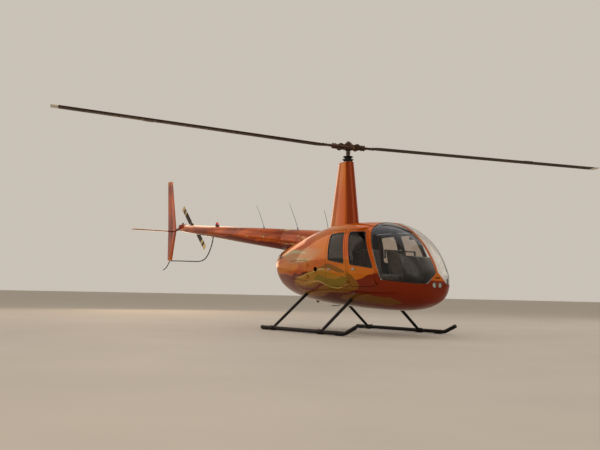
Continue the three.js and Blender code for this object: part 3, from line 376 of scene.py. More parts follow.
def section_side(row, count):
    """Points down the right side of one section, evenly spaced from the keel to the beam to the crown."""
    x, crown, keel, half, beam, top, low = row
    angle = np.linspace(0, np.pi / 2, 241)
    sides = []
    for power, reach in ((low, keel - beam), (top, crown - beam)):
        y = -half * np.cos(angle) ** (2 / power)
        z = beam + reach * np.sin(angle) ** (2 / power)
        length = np.concatenate([[0], np.cumsum(np.hypot(np.diff(y), np.diff(z)))])
        even = np.linspace(0, length[-1], count + 1)
        sides.append(np.stack([np.interp(even, length, y), np.interp(even, length, z)], 1))
    lower, upper = sides
    outline = np.vstack([lower[::-1], upper[1:]])
    return np.column_stack([np.full(len(outline), x + MAST), outline])


def points_of(piece):
    points = np.zeros(len(piece.data.vertices) * 3)
    piece.data.vertices.foreach_get("co", points)
    return points.reshape(-1, 3)


def move_points(piece, points):
    piece.data.vertices.foreach_set("co", points.ravel())
    piece.data.update()


def wrapped_grid(name, points):
    """A grid primitive laid over rows of points."""
    rows, columns = points.shape[:2]
    deselect()
    bpy.ops.mesh.primitive_grid_add(x_subdivisions=rows - 1, y_subdivisions=columns - 1, size=1)
    made = named(name)
    flat = points_of(made)
    row = np.rint((flat[:, 0] + 0.5) * (rows - 1)).astype(int)
    column = np.rint((flat[:, 1] + 0.5) * (columns - 1)).astype(int)
    move_points(made, points[row, column])
    return made


def edit_all():
    """Edit mode on the active piece, with all of it selected."""
    bpy.ops.object.mode_set(mode="EDIT")
    bpy.ops.mesh.select_all(action="SELECT")


def face_outward():
    """Turns every face outward and leaves edit mode."""
    bpy.ops.mesh.select_all(action="SELECT")
    bpy.ops.mesh.normals_make_consistent(inside=False)
    bpy.ops.object.mode_set(mode="OBJECT")


def smooth_below(degrees):
    bpy.ops.object.shade_smooth_by_angle(angle=math.radians(degrees))


def tidy_mesh(piece, merge=0.0002, outward=True):
    """Merges doubles and turns every face outward."""
    select_only(piece)
    edit_all()
    bpy.ops.mesh.remove_doubles(threshold=merge)
    bpy.ops.mesh.dissolve_degenerate(threshold=0.00001)
    if outward:
        bpy.ops.mesh.normals_make_consistent(inside=False)
    bpy.ops.object.mode_set(mode="OBJECT")
    return piece


def modify(piece, kind, **settings):
    """Adds a modifier and applies it."""
    select_only(piece)
    step = piece.modifiers.new(kind.lower(), kind)
    for key, value in settings.items():
        setattr(step, key, value)
    bpy.ops.object.modifier_apply(modifier=step.name)
    return piece


def boolean(piece, tool, operation, keep_tool=False):
    modify(piece, "BOOLEAN", object=tool, operation=operation, solver="EXACT")
    if not keep_tool:
        bpy.data.objects.remove(tool)
    return piece


def cut(piece, tool, keep_tool=False):
    """Takes the tool's space out of the piece."""
    return boolean(piece, tool, "DIFFERENCE", keep_tool)


def trim(piece, tool, keep_tool=False):
    """Keeps only what lies inside the tool."""
    return boolean(piece, tool, "INTERSECT", keep_tool)


def joined(name, parts):
    deselect()
    for part in parts:
        part.select_set(True)
    bpy.context.view_layer.objects.active = parts[0]
    if len(parts) > 1:
        bpy.ops.object.join()
    return named(name)


def copy_of(piece, name):
    twin = piece.copy()
    twin.data = piece.data.copy()
    twin.name = name
    twin.data.name = name
    bpy.context.scene.collection.objects.link(twin)
    return twin


def mirrored(piece, name):
    """A copy on the other side of the middle plane, with its faces still outward."""
    twin = copy_of(piece, name)
    twin.data.transform(Matrix.Diagonal((1, -1, 1, 1)))
    twin.data.flip_normals()
    return twin


def solid_body(name, depth):
    """The whole body as a solid, this deep under its skin."""
    made = wrapped_grid(name, np.array([section_side(row, HALF_COLUMNS) for row in skin_table]))
    modify(made, "MIRROR", use_axis=(False, True, False), use_clip=True, merge_threshold=0.001)
    tidy_mesh(made, 0.0012)
    if depth:
        points = points_of(made)
        move_points(made, points - depth * skin_normals(points))
    return made


def skin_shell(name, outer, inner):
    """The whole skin between two depths under the surface, as one closed wall."""
    return modify(
        solid_body(name, outer), "SOLIDIFY", thickness=inner - outer, offset=-1, use_even_offset=True,
        thickness_clamp=0)


def corner_by_corner(corners):
    """Each corner of a closed outline between the one before it and the one after it."""
    corners = [Vector(corner) for corner in corners]
    return zip([corners[-1], *corners[:-1]], corners, [*corners[1:], corners[0]])


def rounded(corners, radius):
    """The outline with each corner rounded from this far along its two edges."""
    points = []
    for before, here, after in corner_by_corner(corners):
        start = here + (before - here).normalized() * radius
        end = here + (after - here).normalized() * radius
        for i in range(CORNER_STEPS + 1):
            t = i / CORNER_STEPS
            points.append(start * (1 - t) ** 2 + here * 2 * t * (1 - t) + end * t * t)
    return points


def grown(corners, distance):
    """The outline moved outward by a distance."""
    area = sum(here.cross(after) for before, here, after in corner_by_corner(corners))
    out = distance if area > 0 else -distance
    points = []
    for before, here, after in corner_by_corner(corners):
        first = (here - before).normalized()
        second = (after - here).normalized()
        normals = Vector((first.y, -first.x)), Vector((second.y, -second.x))
        points.append(here + (normals[0] + normals[1]) * (out / (1 + normals[0].dot(normals[1]))))
    return points


EDGE_TAPER = 0.5
TAPER_Y = 0.630
CORNER_STEPS = 6


def extruded(name, corners, shift):
    """A flat outline in space, extruded by a shift."""
    deselect()
    bpy.ops.mesh.primitive_circle_add(vertices=len(corners), radius=1, fill_type="NGON")
    prism = named(name)
    for vertex, corner in zip(prism.data.vertices, corners):
        vertex.co = corner
    edit_all()
    bpy.ops.mesh.extrude_region_move(TRANSFORM_OT_translate={"value": shift})
    face_outward()
    return prism


def side_prism(name, outline, y0, y1, taper=0.0, centre=(0, 0)):
    """An outline of (station, height) points extruded across the body; it narrows inward with a taper."""
    prism = extruded(name, [(x + MAST, y0, z) for x, z in outline], (0, y1 - y0, 0))
    if taper:
        middle = Vector(centre)
        for vertex in prism.data.vertices:
            share = 1 + taper * (abs(vertex.co.y) - TAPER_Y)
            vertex.co.x = MAST + middle.x + (vertex.co.x - MAST - middle.x) * share
            vertex.co.z = middle.y + (vertex.co.z - middle.y) * share
    return prism


def average(corners):
    return sum((Vector(corner) for corner in corners), Vector((0, 0))) / len(corners)


# a face counts as skin where its normal and the true skin's agree this well, and its cut edge is painted
# this near to an outline
SKIN_LIKE, PAINTED_EDGE = 0.8, 0.022


def paint_faces(piece, materials, painted_edges):
    """Paint on the outer skin and on the cut faces along these outlines, and the lining on all the rest."""
    for made in materials:
        piece.data.materials.append(made)
    mesh = piece.data
    centres = np.zeros(len(mesh.polygons) * 3)
    faces = np.zeros(len(mesh.polygons) * 3)
    mesh.polygons.foreach_get("center", centres)
    mesh.polygons.foreach_get("normal", faces)
    centres, faces = centres.reshape(-1, 3), faces.reshape(-1, 3)
    facing = (skin_normals(centres) * faces).sum(1)
    near = np.zeros(len(centres), bool)
    flat = centres[:, ::2] - (MAST, 0)
    for outline in painted_edges:
        corners = np.array([list(corner) for corner in rounded(outline, 0.05)])
        for start, end in zip(corners, np.roll(corners, -1, axis=0)):
            along = end - start
            share = np.clip(((flat - start) @ along) / max(along @ along, 1e-9), 0, 1)
            near |= np.linalg.norm(flat - start - share[:, None] * along, axis=1) < PAINTED_EDGE
    kind = np.where((facing > SKIN_LIKE) | (near & (facing > -SKIN_LIKE)), 0, 1)
    mesh.polygons.foreach_set("material_index", kind)
    mesh.update()


def skin_shading(piece):
    """Smooth normals taken from the true skin, so that panels cut from it shine as one surface."""
    mesh = piece.data
    mesh.polygons.foreach_set("use_smooth", np.ones(len(mesh.polygons), bool))
    true = skin_normals(points_of(piece))
    normals = np.zeros((len(mesh.loops), 3))
    for face in mesh.polygons:
        flat = np.array(face.normal)
        for loop in face.loop_indices:
            best = true[mesh.loops[loop].vertex_index]
            along = float(best @ flat)
            normals[loop] = best if along > SKIN_LIKE else (-best if along < -SKIN_LIKE else flat)
    mesh.normals_split_custom_set(normals)
    return piece


def finish_piece(piece, body, slot, *nodes):
    """The piece rides on its body and stands for its CAD nodes, which it hides; the slot is not used."""
    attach(piece, body)
    if nodes:
        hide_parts(*nodes)
    return piece


def dress(piece, finish, body, slot, *nodes):
    """The same, with the piece's material."""
    piece.data.materials.append(finish)
    return finish_piece(piece, body, slot, *nodes)


# Linings: dull moulded plastic and cloth-backed panels inside the cabin and doors, warm dark grey-brown.
def speckled(name, low, high, scale, rough, bump_depth=0.0006, metallic=0.0, gloss=0.5):
    """A finish whose colour wanders between two tones, with a fine raised grain."""
    made = new_material(name)
    place = object_axes(made)[0]
    surface = shader(made, Metallic=metallic, Specular_IOR_Level=gloss)
    tone = noise_value(made, place, scale, 5)
    wire(made, tones(made, tone, 0.35, 0.65, low, high), surface.inputs["Base Color"])
    grain = noise_value(made, place, scale * 22, 3)
    raise_grain(made, surface, grain, 0.35, bump_depth)
    wire(made, edge_between(made, grain, -(1 - rough) * 2, 2.2), surface.inputs["Roughness"])
    return made


lining = speckled(
    "cabin_lining_plastic", (0.024, 0.017, 0.013, 1), (0.045, 0.033, 0.025, 1), 14, 0.8, gloss=0.25)
rubber = speckled("seal_rubber", (0.012, 0.011, 0.010, 1), (0.022, 0.020, 0.018, 1), 22, 0.65, gloss=0.25)
bare_steel = speckled("brushed_steel", (0.28, 0.27, 0.26, 1), (0.46, 0.45, 0.43, 1), 16, 0.3, metallic=0.9)


# Cabin shell: sheet aluminium and moulded fairing over a frame, from the firewall to the nose. The door
# openings, the windshield opening, the two lamp holes and the fresh-air slot are cut through it.
WALL = 0.030
FIREWALL = -0.020
DOOR_GAP = 0.008
POST_FOOT, POST_LEAN, POST_HALF = 0.815, 0.149, 0.030
DOOR_RADIUS = 0.050
WINDOW_RADIUS = 0.045
# how far across the body the tools that cut its right side reach
SIDE_REACH = -0.80, -0.30


def post_edge(z, offset):
    """Station of the leaning post's edge between the doors at a height."""
    return POST_FOOT - POST_LEAN * (z - 0.760) + offset


DOOR_OUTLINES = {
    "front": [(post_edge(0.760, POST_HALF), 0.760), (1.405, 0.760), (1.405, 1.050), (1.112, 1.715),
              (post_edge(1.715, POST_HALF), 1.715)],
    "rear": [(0.215, 0.760), (post_edge(0.760, -POST_HALF), 0.760), (post_edge(1.715, -POST_HALF), 1.715),
             (0.215, 1.715)],
}
WINDOW_OUTLINES = {
    "front": [(0.838, 1.113), (1.370, 1.050), (1.095, 1.645), (0.740, 1.650)],
    "rear": [(0.262, 1.196), (0.690, 1.130), (0.612, 1.647), (0.262, 1.632)],
}
WINDSHIELD_SIDE = [
    (1.180, 1.950), (1.180, 1.690), (1.251, 1.528), (1.335, 1.332), (1.448, 1.056), (1.525, 0.870),
    (2.090, 0.818), (2.600, 0.818), (2.600, 1.950),
]
WINDSHIELD_FRONT = [
    (-0.700, 1.990), (-0.700, 0.700), (-0.210, 0.818), (-0.016, 1.000), (0.016, 1.000), (0.210, 0.818),
    (0.700, 0.700), (0.700, 1.990),
]


def box_between(name, low, high):
    deselect()
    middle = [(a + b) / 2 for a, b in zip(low, high)]
    size = [b - a for a, b in zip(low, high)]
    bpy.ops.mesh.primitive_cube_add(size=1, location=middle, scale=size)
    apply_place()
    return named(name)


def front_prism(name, outline, x0, x1):
    """An outline of (y, height) points extruded forward."""
    return extruded(name, [(x0 + MAST, y, z) for y, z in outline], (x1 - x0, 0, 0))


def windshield_tool(name, distance):
    side = side_prism(name, rounded(grown(WINDSHIELD_SIDE, distance), 0.035), -0.9, 0.9)
    front = front_prism("windshield_front_shape", rounded(grown(WINDSHIELD_FRONT, distance), 0.012), 0.9, 2.7)
    return trim(side, front)


def door_tool(name, outline, distance, radius):
    return side_prism(
        name, rounded(grown(outline, distance), radius), *SIDE_REACH, EDGE_TAPER, average(outline))


wall = skin_shell("body_wall", 0, WALL)
cabin = copy_of(wall, "cabin_skin")
trim(cabin, box_between("ahead_of_firewall", (MAST + FIREWALL, -1, 0), (MAST + 3, 1, 3)))
openings = []
for door, outline in DOOR_OUTLINES.items():
    tool = door_tool(f"{door}_door_opening", outline, DOOR_GAP, DOOR_RADIUS + DOOR_GAP)
    openings += [tool, mirrored(tool, f"{door}_door_opening_left")]
LAMP_Y, LAMP_Z, LAMP_RADIUS = 0.063, 0.803, 0.042
NOSE_SLOT = rounded([(-0.052, 0.904), (0.052, 0.904), (0.052, 0.923), (-0.052, 0.923)], 0.0085)
openings.append(front_prism("nose_slot", NOSE_SLOT, 2.0, 2.4))
for side in (-1, 1):
    deselect()
    bpy.ops.mesh.primitive_cylinder_add(
        vertices=40, radius=LAMP_RADIUS + 0.001, depth=0.5, location=(MAST + 2.2, side * LAMP_Y, LAMP_Z),
        rotation=(0, math.pi / 2, 0))
    apply_place()
    openings.append(named("lamp_hole"))
cut(cabin, joined("cabin_openings", openings))
cut(cabin, windshield_tool("windshield_opening", 0.0))
paint_faces(cabin, [body_paint, lining], DOOR_OUTLINES.values())
skin_shading(cabin)
finish_piece(cabin, "airframe", "orange_panel", "cabin_shell")


# Doors: moulded leaves hinged at their front edges, each with a curved window in a rubber seal, a latch
# handle on the outside and two hinge knuckles. The right pair is made first and the left pair mirrors it.
SEAL = 0.009
HINGE_OUT = 0.013
KNUCKLE_LOW, KNUCKLE_HIGH, KNUCKLE_PITCH = 0.0020, 0.0225, 0.0245
KNUCKLE_FOOT, KNUCKLE_ARM = 0.018, 0.042
SIDES = (-1, "right"), (1, "left")
glass_skin = skin_shell("glass_skin", 0.006, 0.0105)
seal_skin = skin_shell("seal_skin", -0.0015, 0.018)


def rod(name, start, end, radius, end_radius=None, sides=24):
    """A round bar or cone between two points, stations forward of the mast."""
    start, end = (Vector((point[0] + MAST, point[1], point[2])) for point in (start, end))
    along = end - start
    deselect()
    bpy.ops.mesh.primitive_cone_add(
        vertices=sides, radius1=radius, radius2=radius if end_radius is None else end_radius,
        depth=along.length, location=(start + end) / 2, rotation=along.to_track_quat("Z", "Y").to_euler())
    apply_place()
    return named(name)


def soften(piece, width=0.002, segments=2, angle=40):
    """Rounds the piece's edges and smooths the rest."""
    modify(
        piece, "BEVEL", width=width, segments=segments, limit_method="ANGLE",
        angle_limit=math.radians(angle), harden_normals=False)
    select_only(piece)
    smooth_below(angle)
    return piece


def turned(name, start, end, steps, sides=40):
    """A lathe-turned piece between two points, from steps of (share of the way, radius)."""
    start, end = (Vector((point[0] + MAST, point[1], point[2])) for point in (start, end))
    along = end - start
    deselect()
    bpy.ops.mesh.primitive_circle_add(vertices=sides, radius=steps[0][1], fill_type="NGON")
    made = named(name)
    edit_all()
    for (share, wide), (next_share, next_wide) in zip(steps, steps[1:]):
        rise = (next_share - share) * along.length
        bpy.ops.mesh.extrude_region_move(TRANSFORM_OT_translate={"value": (0, 0, rise)})
        bpy.ops.transform.resize(value=(next_wide / wide, next_wide / wide, 1))
    face_outward()
    first = Vector((0, 0, steps[0][0] * along.length))
    made.data.transform(
        Matrix.Translation(start) @ along.to_track_quat("Z", "Y").to_matrix().to_4x4()
        @ Matrix.Translation(first))
    smooth_below(30)
    return made


def knuckle(name, x, y, z, lean, way, sign):
    """A hinge knuckle: a barrel on the axis with a bracket that reaches to the skin behind it."""
    barrel = rod(name, (0 - MAST, 0, 0.0008), (0 - MAST, 0, 0.0240), 0.009, sides=24)
    pin = rod("pin_head", (0 - MAST, 0, 0.0235), (0 - MAST, 0, 0.0275), 0.0055, 0.0040, 16)
    reach = abs(y) - float(skin_y(x + MAST, z)) + 0.010
    start, end = sorted((0, way * KNUCKLE_ARM))
    arm = box_between("arm", (start, -0.0060, KNUCKLE_LOW), (end, 0.0060, KNUCKLE_HIGH))
    start, end = sorted((way * KNUCKLE_FOOT, way * KNUCKLE_ARM))
    inner, outer = sorted((0, -sign * reach))
    foot = box_between("foot", (start, inner, KNUCKLE_LOW), (end, outer, KNUCKLE_HIGH))
    made = joined(name, [barrel, pin, arm, foot])
    soften(made, 0.0012, 2)
    drop = 0 if way < 0 else -KNUCKLE_PITCH
    made.data.transform(
        Matrix.Translation((x + MAST, y, z)) @ Matrix.Rotation(-lean, 4, "Y")
        @ Matrix.Translation((0, 0, drop)))
    return made


def hinge(door, side, body, x, out, heights, lean):
    """The knuckles of a door's hinge at these heights: one set on the door, the other on the frame."""
    sign = -1 if side == "right" else 1
    for part, way, carrier in (("door", -1, body), ("frame", 1, "airframe")):
        knuckles = [
            knuckle("knuckle", x - math.tan(lean) * (z - heights[0]), sign * (out + HINGE_OUT), z, lean,
                way, sign) for z in heights]
        dress(joined(f"{door}_hinge_{part}_{side}", knuckles), body_paint, carrier, "orange_panel")


def window_glass(name, tint):
    """Clear or tinted formed plastic, its tint a little uneven."""
    made = new_material(name)
    place = object_axes(made)[0]
    surface = shader(made, Roughness=0.0, IOR=1.25, Transmission_Weight=1.0)
    haze = noise_value(made, place, 3.0, 4)
    deeper = tuple(0.93 * c for c in tint[:3]) + (1,)
    wire(made, tones(made, haze, 0.3, 0.7, deeper, tint), surface.inputs["Base Color"])
    return made


door_glass = window_glass("tinted_window_plastic", (0.50, 0.42, 0.36, 1))
screen_glass = window_glass("clear_windshield_plastic", (0.94, 0.92, 0.89, 1))

HINGE_HEIGHTS = 0.820, 1.000
DOOR_FITTINGS = {
    # station of the hinge line at its lower knuckle, its lean, and station of the latch
    "front": (1.410, 0.0, 0.905),
    "rear": (0.779, math.atan(POST_LEAN), 0.270),
}
HANDLE_Z = 1.041


def latch_handle(name, x, sign):
    """A recessed plate with a short lever that pulls out from it."""
    y = float(skin_y(x + MAST, HANDLE_Z))
    plate = rod(
        "plate", (x + 0.012, sign * (y - 0.002), HANDLE_Z), (x + 0.012, sign * (y + 0.0022), HANDLE_Z),
        0.024, 0.0225, 32)
    pivot = rod(
        "pivot", (x + 0.004, sign * (y + 0.001), HANDLE_Z), (x + 0.004, sign * (y + 0.011), HANDLE_Z),
        0.0085, 0.0075, 20)
    low, high = sorted(sign * (y + out) for out in (0.006, 0.0145))
    lever = box_between(
        "lever", (x + MAST - 0.008, low, HANDLE_Z - 0.008), (x + MAST + 0.078, high, HANDLE_Z + 0.008))
    soften(lever, 0.0038, 3)
    return joined(name, [plate, pivot, lever])


for door, outline in DOOR_OUTLINES.items():
    window = WINDOW_OUTLINES[door]
    hinge_x, lean, latch_x = DOOR_FITTINGS[door]
    hinge_y = max(float(skin_y(hinge_x + MAST, z)) for z in (HINGE_HEIGHTS[0], HINGE_HEIGHTS[1] + 0.010))
    for sign, side in SIDES:
        hinge(door, side, f"door_{door}_{side}", hinge_x, hinge_y, HINGE_HEIGHTS, lean)
        handle = latch_handle(f"{door}_door_handle_{side}", latch_x, sign)
        dress(handle, bare_steel, f"door_{door}_{side}", "bare_steel")
    centre = average(outline)
    leaf = copy_of(wall, f"{door}_door_leaf_right")
    trim(leaf, door_tool("door_edge", outline, 0.0, DOOR_RADIUS))
    cut(leaf, side_prism("window_hole", rounded(window, WINDOW_RADIUS), *SIDE_REACH))
    paint_faces(leaf, [body_paint, lining], [outline])
    skin_shading(leaf)
    pane = copy_of(glass_skin, f"{door}_door_pane_right")
    trim(pane, side_prism("pane_edge", rounded(grown(window, -0.0005), WINDOW_RADIUS), *SIDE_REACH))
    pane.data.materials.append(door_glass)
    skin_shading(pane)
    strip = side_prism("seal_outer", rounded(grown(window, 0.004), WINDOW_RADIUS), *SIDE_REACH)
    cut(strip, side_prism("seal_inner", rounded(grown(window, -SEAL), WINDOW_RADIUS), -0.85, -0.25))
    seal = copy_of(seal_skin, f"{door}_window_seal_right")
    trim(seal, strip)
    seal.data.materials.append(rubber)
    skin_shading(seal)
    for piece, slot, node in (
            (leaf, "orange_panel", f"door_{door}_"), (pane, "window", f"door_window_{door}_"),
            (seal, "black_trim", None)):
        twin = mirrored(piece, piece.name.replace("right", "left"))
        if piece is not seal:
            skin_shading(twin)
        for part, side in ((piece, "right"), (twin, "left")):
            finish_piece(part, f"door_{door}_{side}", slot, *([node + side] if node else []))


# Windshield: two halves of clear formed plastic, held at the edges by the shell and joined on the middle
# line by a bow in the body's colour, from which the compass hangs.
BOW_HALF = 0.016
screen = copy_of(glass_skin, "windshield_pane_right")
tool = windshield_tool("windshield_edge", -0.0005)
trim(tool, box_between("right_half", (MAST + 0.5, -1, 0.5), (MAST + 2.8, -BOW_HALF, 2)))
trim(screen, tool)
screen.data.materials.append(screen_glass)
skin_shading(screen)
other = skin_shading(mirrored(screen, "windshield_pane_left"))
finish_piece(screen, "airframe", "window", "windshield_right")
finish_piece(other, "airframe", "window", "windshield_left")
bow = copy_of(seal_skin, "windshield_bow_strip")
tool = windshield_tool("bow_length", 0.0)
trim(tool, box_between("bow_width", (MAST + 0.5, -BOW_HALF, 0.5), (MAST + 2.8, BOW_HALF, 2)))
trim(bow, tool)
dress(skin_shading(bow), body_paint, "airframe", "orange_panel", "windshield_bow_with_compass")

# Compass: a liquid-filled ball in a black case that hangs from the bow, read from behind.
COMPASS = Vector((1.590, 0, 1.545))
case = box_between(
    "compass_case", (MAST + COMPASS.x - 0.026, -0.030, COMPASS.z - 0.030),
    (MAST + COMPASS.x + 0.028, 0.030, COMPASS.z + 0.028))
soften(case, 0.012, 4)
hanger = rod(
    "compass_hanger", COMPASS + Vector((0.010, 0, 0.020)), COMPASS + Vector((0.038, 0, 0.072)), 0.0065,
    sides=16)
bezel = turned(
    "compass_bezel", COMPASS - Vector((0.024, 0, 0)), COMPASS - Vector((0.033, 0, 0)),
    [(0, 0.025), (0.8, 0.025), (1, 0.022)], 32)
compass = joined("compass_case", [case, hanger, bezel])
compass_black = speckled("compass_casting", (0.010, 0.010, 0.010, 1), (0.022, 0.020, 0.018, 1), 40, 0.5)
dress(compass, compass_black, "airframe", "black_trim")
lens = turned(
    "compass_lens", COMPASS - Vector((0.032, 0, 0)), COMPASS - Vector((0.036, 0, 0)),
    [(0, 0.020), (0.5, 0.017), (1, 0.009)], 32)
dress(lens, door_glass, "airframe", "window")


# Engine cowling: moulded and sheet panels behind the firewall. Its ridge carries the front of the boom, an
# air intake with a raised rim opens on its right side, and each side has a door over the engine.
FIREWALL_GAP = 0.0005
RIDGE_FRONT, RIDGE_REAR = -0.400, -1.700
BOOM_SLOPE = 0.1017
BOOM_WALL = 0.008
BOOM_BAY = 0.74
BOOM_SIDES = 96
INTAKE_X, INTAKE_Z, INTAKE_LONG, INTAKE_TALL = -0.095, 1.047, 0.060, 0.045
COWL_DOOR = [(-1.020, 0.880), (-0.365, 0.850), (-0.365, 1.210), (-1.020, 1.210)]
COWL_HINGE_X, COWL_HINGE_HEIGHTS = -0.358, (0.930, 1.120)
GRILLE_Z, GRILLE_INNER, GRILLE_OUTER, GRILLE_SPREAD = 1.645, 0.238, 0.532, math.radians(49)
GRILLE_REAR, GRILLE_FRONT = -2.0, -1.10
GRILLE_SLOTS, GRILLE_RIB, RIB_THICK = 6, 0.016, 0.005
SLOT_POINTS = 14


def boom_z(x):
    return 1.656 - BOOM_SLOPE * (x + 1.880)


def boom_radius(x):
    return 0.200 + 0.0299 * (x + 1.880)


def boom_cone(name, front, rear, depth=0.0):
    """The boom's cone between two stations, this deep under its skin."""
    return rod(
        name, (front, 0, boom_z(front)), (rear, 0, boom_z(rear)), boom_radius(front) - depth,
        boom_radius(rear) - depth, BOOM_SIDES)


def sector_prism(name, inner, outer, margin=0.0):
    """A part of the ring under the boom that holds the slots, extruded along the body."""
    spread = GRILLE_SPREAD - margin
    turns = np.linspace(-math.pi / 2 - spread, -math.pi / 2 + spread, SLOT_POINTS)
    outline = [
        (radius * math.cos(turn), GRILLE_Z + radius * math.sin(turn))
        for radius, order in ((outer, turns), (inner, turns[::-1])) for turn in order]
    return front_prism(name, outline, GRILLE_REAR, GRILLE_FRONT)


def boom_normals(points):
    """Outward normals of the boom's cone near the points, and their distance off its skin."""
    axis = np.array([-1.0, 0.0, BOOM_SLOPE]) / math.hypot(1, BOOM_SLOPE)
    station = points[:, 0] - MAST
    offset = np.column_stack([np.zeros(len(points)), points[:, 1], points[:, 2] - boom_z(station)])
    radial = offset - np.outer(offset @ axis, axis)
    length = np.linalg.norm(radial, axis=1, keepdims=True)
    return radial / np.maximum(length, 1e-6), np.abs(length[:, 0] - boom_radius(station))


def shade_cowling(piece):
    """Normals from the true skin on the body, and the cone's own normals and paint on the ridge."""
    skin_shading(piece)
    mesh = piece.data
    cone, off = boom_normals(points_of(piece))
    normals = np.array([corner.vector for corner in mesh.corner_normals])
    for face in mesh.polygons:
        corners = [mesh.loops[loop].vertex_index for loop in face.loop_indices]
        if off[corners].max() > 0.0015 or (cone[corners[0]] @ np.array(face.normal)) < 0.9:
            continue
        face.material_index = 2
        for loop, vertex in zip(face.loop_indices, corners):
            normals[loop] = cone[vertex]
    mesh.normals_split_custom_set(normals)
    return piece


def boom_paint(name):
    made = new_material(name)
    place, x, _, z = object_axes(made)
    station = combine(made, "SUBTRACT", x, MAST)
    axis = combine(made, "MULTIPLY_ADD", station, -BOOM_SLOPE, boom_z(0))
    height = combine(made, "SUBTRACT", z, axis)
    swell = noise_value(made, place, 1.6, 3, (1, 0.3, 2.5), (2, 1, 0))
    level = combine(made, "MULTIPLY_ADD", swell, 0.16, -0.15)
    over = edge_between(made, combine(made, "SUBTRACT", height, level), -0.01, 0.01)
    tone = noise_value(made, place, 2.2, 3, (0.6, 1, 3), (4, 0, 1))
    upper = tones(made, tone, 0.36, 0.66, ORANGE, RUST)
    # deep red below a wavy line under the axis: the paint's second tone, partly painted shade under the boom
    base = blend_colours(made, over, DEEP_RED, upper)
    fleck = noise_value(made, place, 7, 3, (0.45, 1, 1.6), (9, 3, 2))
    high = combine(
        made, "MULTIPLY", edge_between(made, fleck, 0.63, 0.67), edge_between(made, station, -4.2, -2.2))
    base = blend_colours(made, combine(made, "MULTIPLY", high, over), base, (0.50, 0.36, 0.14, 1))
    surface = coat_and_peel(made, place, rough=0.24, coat=0.16)
    seam = combine(made, "ABSOLUTE", combine(made, "SUBTRACT", combine(made, "FRACT", combine(
        made, "DIVIDE", station, BOOM_BAY)), 0.5))
    groove = edge_between(made, combine(made, "MULTIPLY", seam, BOOM_BAY), 0.001, 0.006)
    wire(made, blend_colours(made, groove, DARK_RED, base), surface.inputs["Base Color"])
    raise_grain(made, surface, groove, 0.5, 0.003)
    return made


boom_finish = boom_paint("boom_paint")
outer_solid = boolean(solid_body("outer_solid", 0), boom_cone("ridge", RIDGE_FRONT, RIDGE_REAR), "UNION")
inner_solid = boolean(
    solid_body("inner_solid", WALL),
    boom_cone("ridge_inside", RIDGE_FRONT - 0.04, RIDGE_REAR - 0.3, BOOM_WALL), "UNION")
cowl = cut(outer_solid, inner_solid)
cowl.name = cowl.data.name = "cowling_skin"
behind = (MAST - 3, -1, 0), (MAST + FIREWALL - FIREWALL_GAP, 1, 3)
trim(cowl, box_between("behind_firewall", *behind))
cuts = [
    boom_cone("boom_seat", RIDGE_REAR, RIDGE_REAR - 0.6, -0.0005),
    trim(sector_prism("grille_space", GRILLE_INNER, GRILLE_OUTER), solid_body("under_ribs", RIB_THICK))]
slot_pitch = (GRILLE_OUTER - GRILLE_INNER - GRILLE_RIB) / GRILLE_SLOTS
slot_starts = [GRILLE_INNER + GRILLE_RIB + slot * slot_pitch for slot in range(GRILLE_SLOTS)]
for start in slot_starts:
    cuts.append(sector_prism("slot", start, start + slot_pitch - GRILLE_RIB, 0.05))
for sign in (-1, 1):
    outline = rounded(grown(COWL_DOOR, DOOR_GAP), DOOR_RADIUS + DOOR_GAP)
    cuts.append(side_prism(
        "cowl_door_opening", outline, sign * 0.2, sign * 0.8, EDGE_TAPER, average(COWL_DOOR)))
deselect()
bpy.ops.mesh.primitive_cylinder_add(
    vertices=48, radius=1, depth=0.5, location=(MAST + INTAKE_X, -0.6, INTAKE_Z),
    rotation=(math.pi / 2, 0, 0))
intake_tool = named("intake_mouth")
intake_tool.scale = (INTAKE_LONG, INTAKE_TALL, 1)
apply_place()
cuts.append(intake_tool)
TAILPIPE_PATH = [
    (-0.822, 0.180, 0.770), (-0.870, 0.192, 0.745), (-0.950, 0.215, 0.640), (-1.010, 0.230, 0.560),
    (-1.090, 0.240, 0.490)]
cuts.append(rod("tailpipe_hole", TAILPIPE_PATH[1], TAILPIPE_PATH[4], 0.043, sides=40))
for tool in cuts:
    cut(cowl, tool)
paint_faces(cowl, [body_paint, lining, boom_finish], [COWL_DOOR])
shade_cowling(cowl)
finish_piece(cowl, "airframe", "orange_panel", "engine_cowling")

# The intake's raised rim, and the doors with their hinges and quarter-turn fasteners.
intake_y = float(skin_y(MAST + INTAKE_X, INTAKE_Z))
deselect()
bpy.ops.mesh.primitive_torus_add(
    major_radius=1, minor_radius=0.12, major_segments=56, minor_segments=12, rotation=(math.pi / 2, 0, 0),
    location=(MAST + INTAKE_X, -intake_y + 0.004, INTAKE_Z))
rim = named("air_intake_rim")
rim.scale = (INTAKE_LONG, INTAKE_TALL, 0.05)
apply_place()
points = points_of(rim)
points[:, 1] += intake_y - skin_y(points[:, 0], points[:, 2])
move_points(rim, points)
bpy.ops.object.shade_smooth()
dress(rim, body_paint, "airframe", "orange_panel")

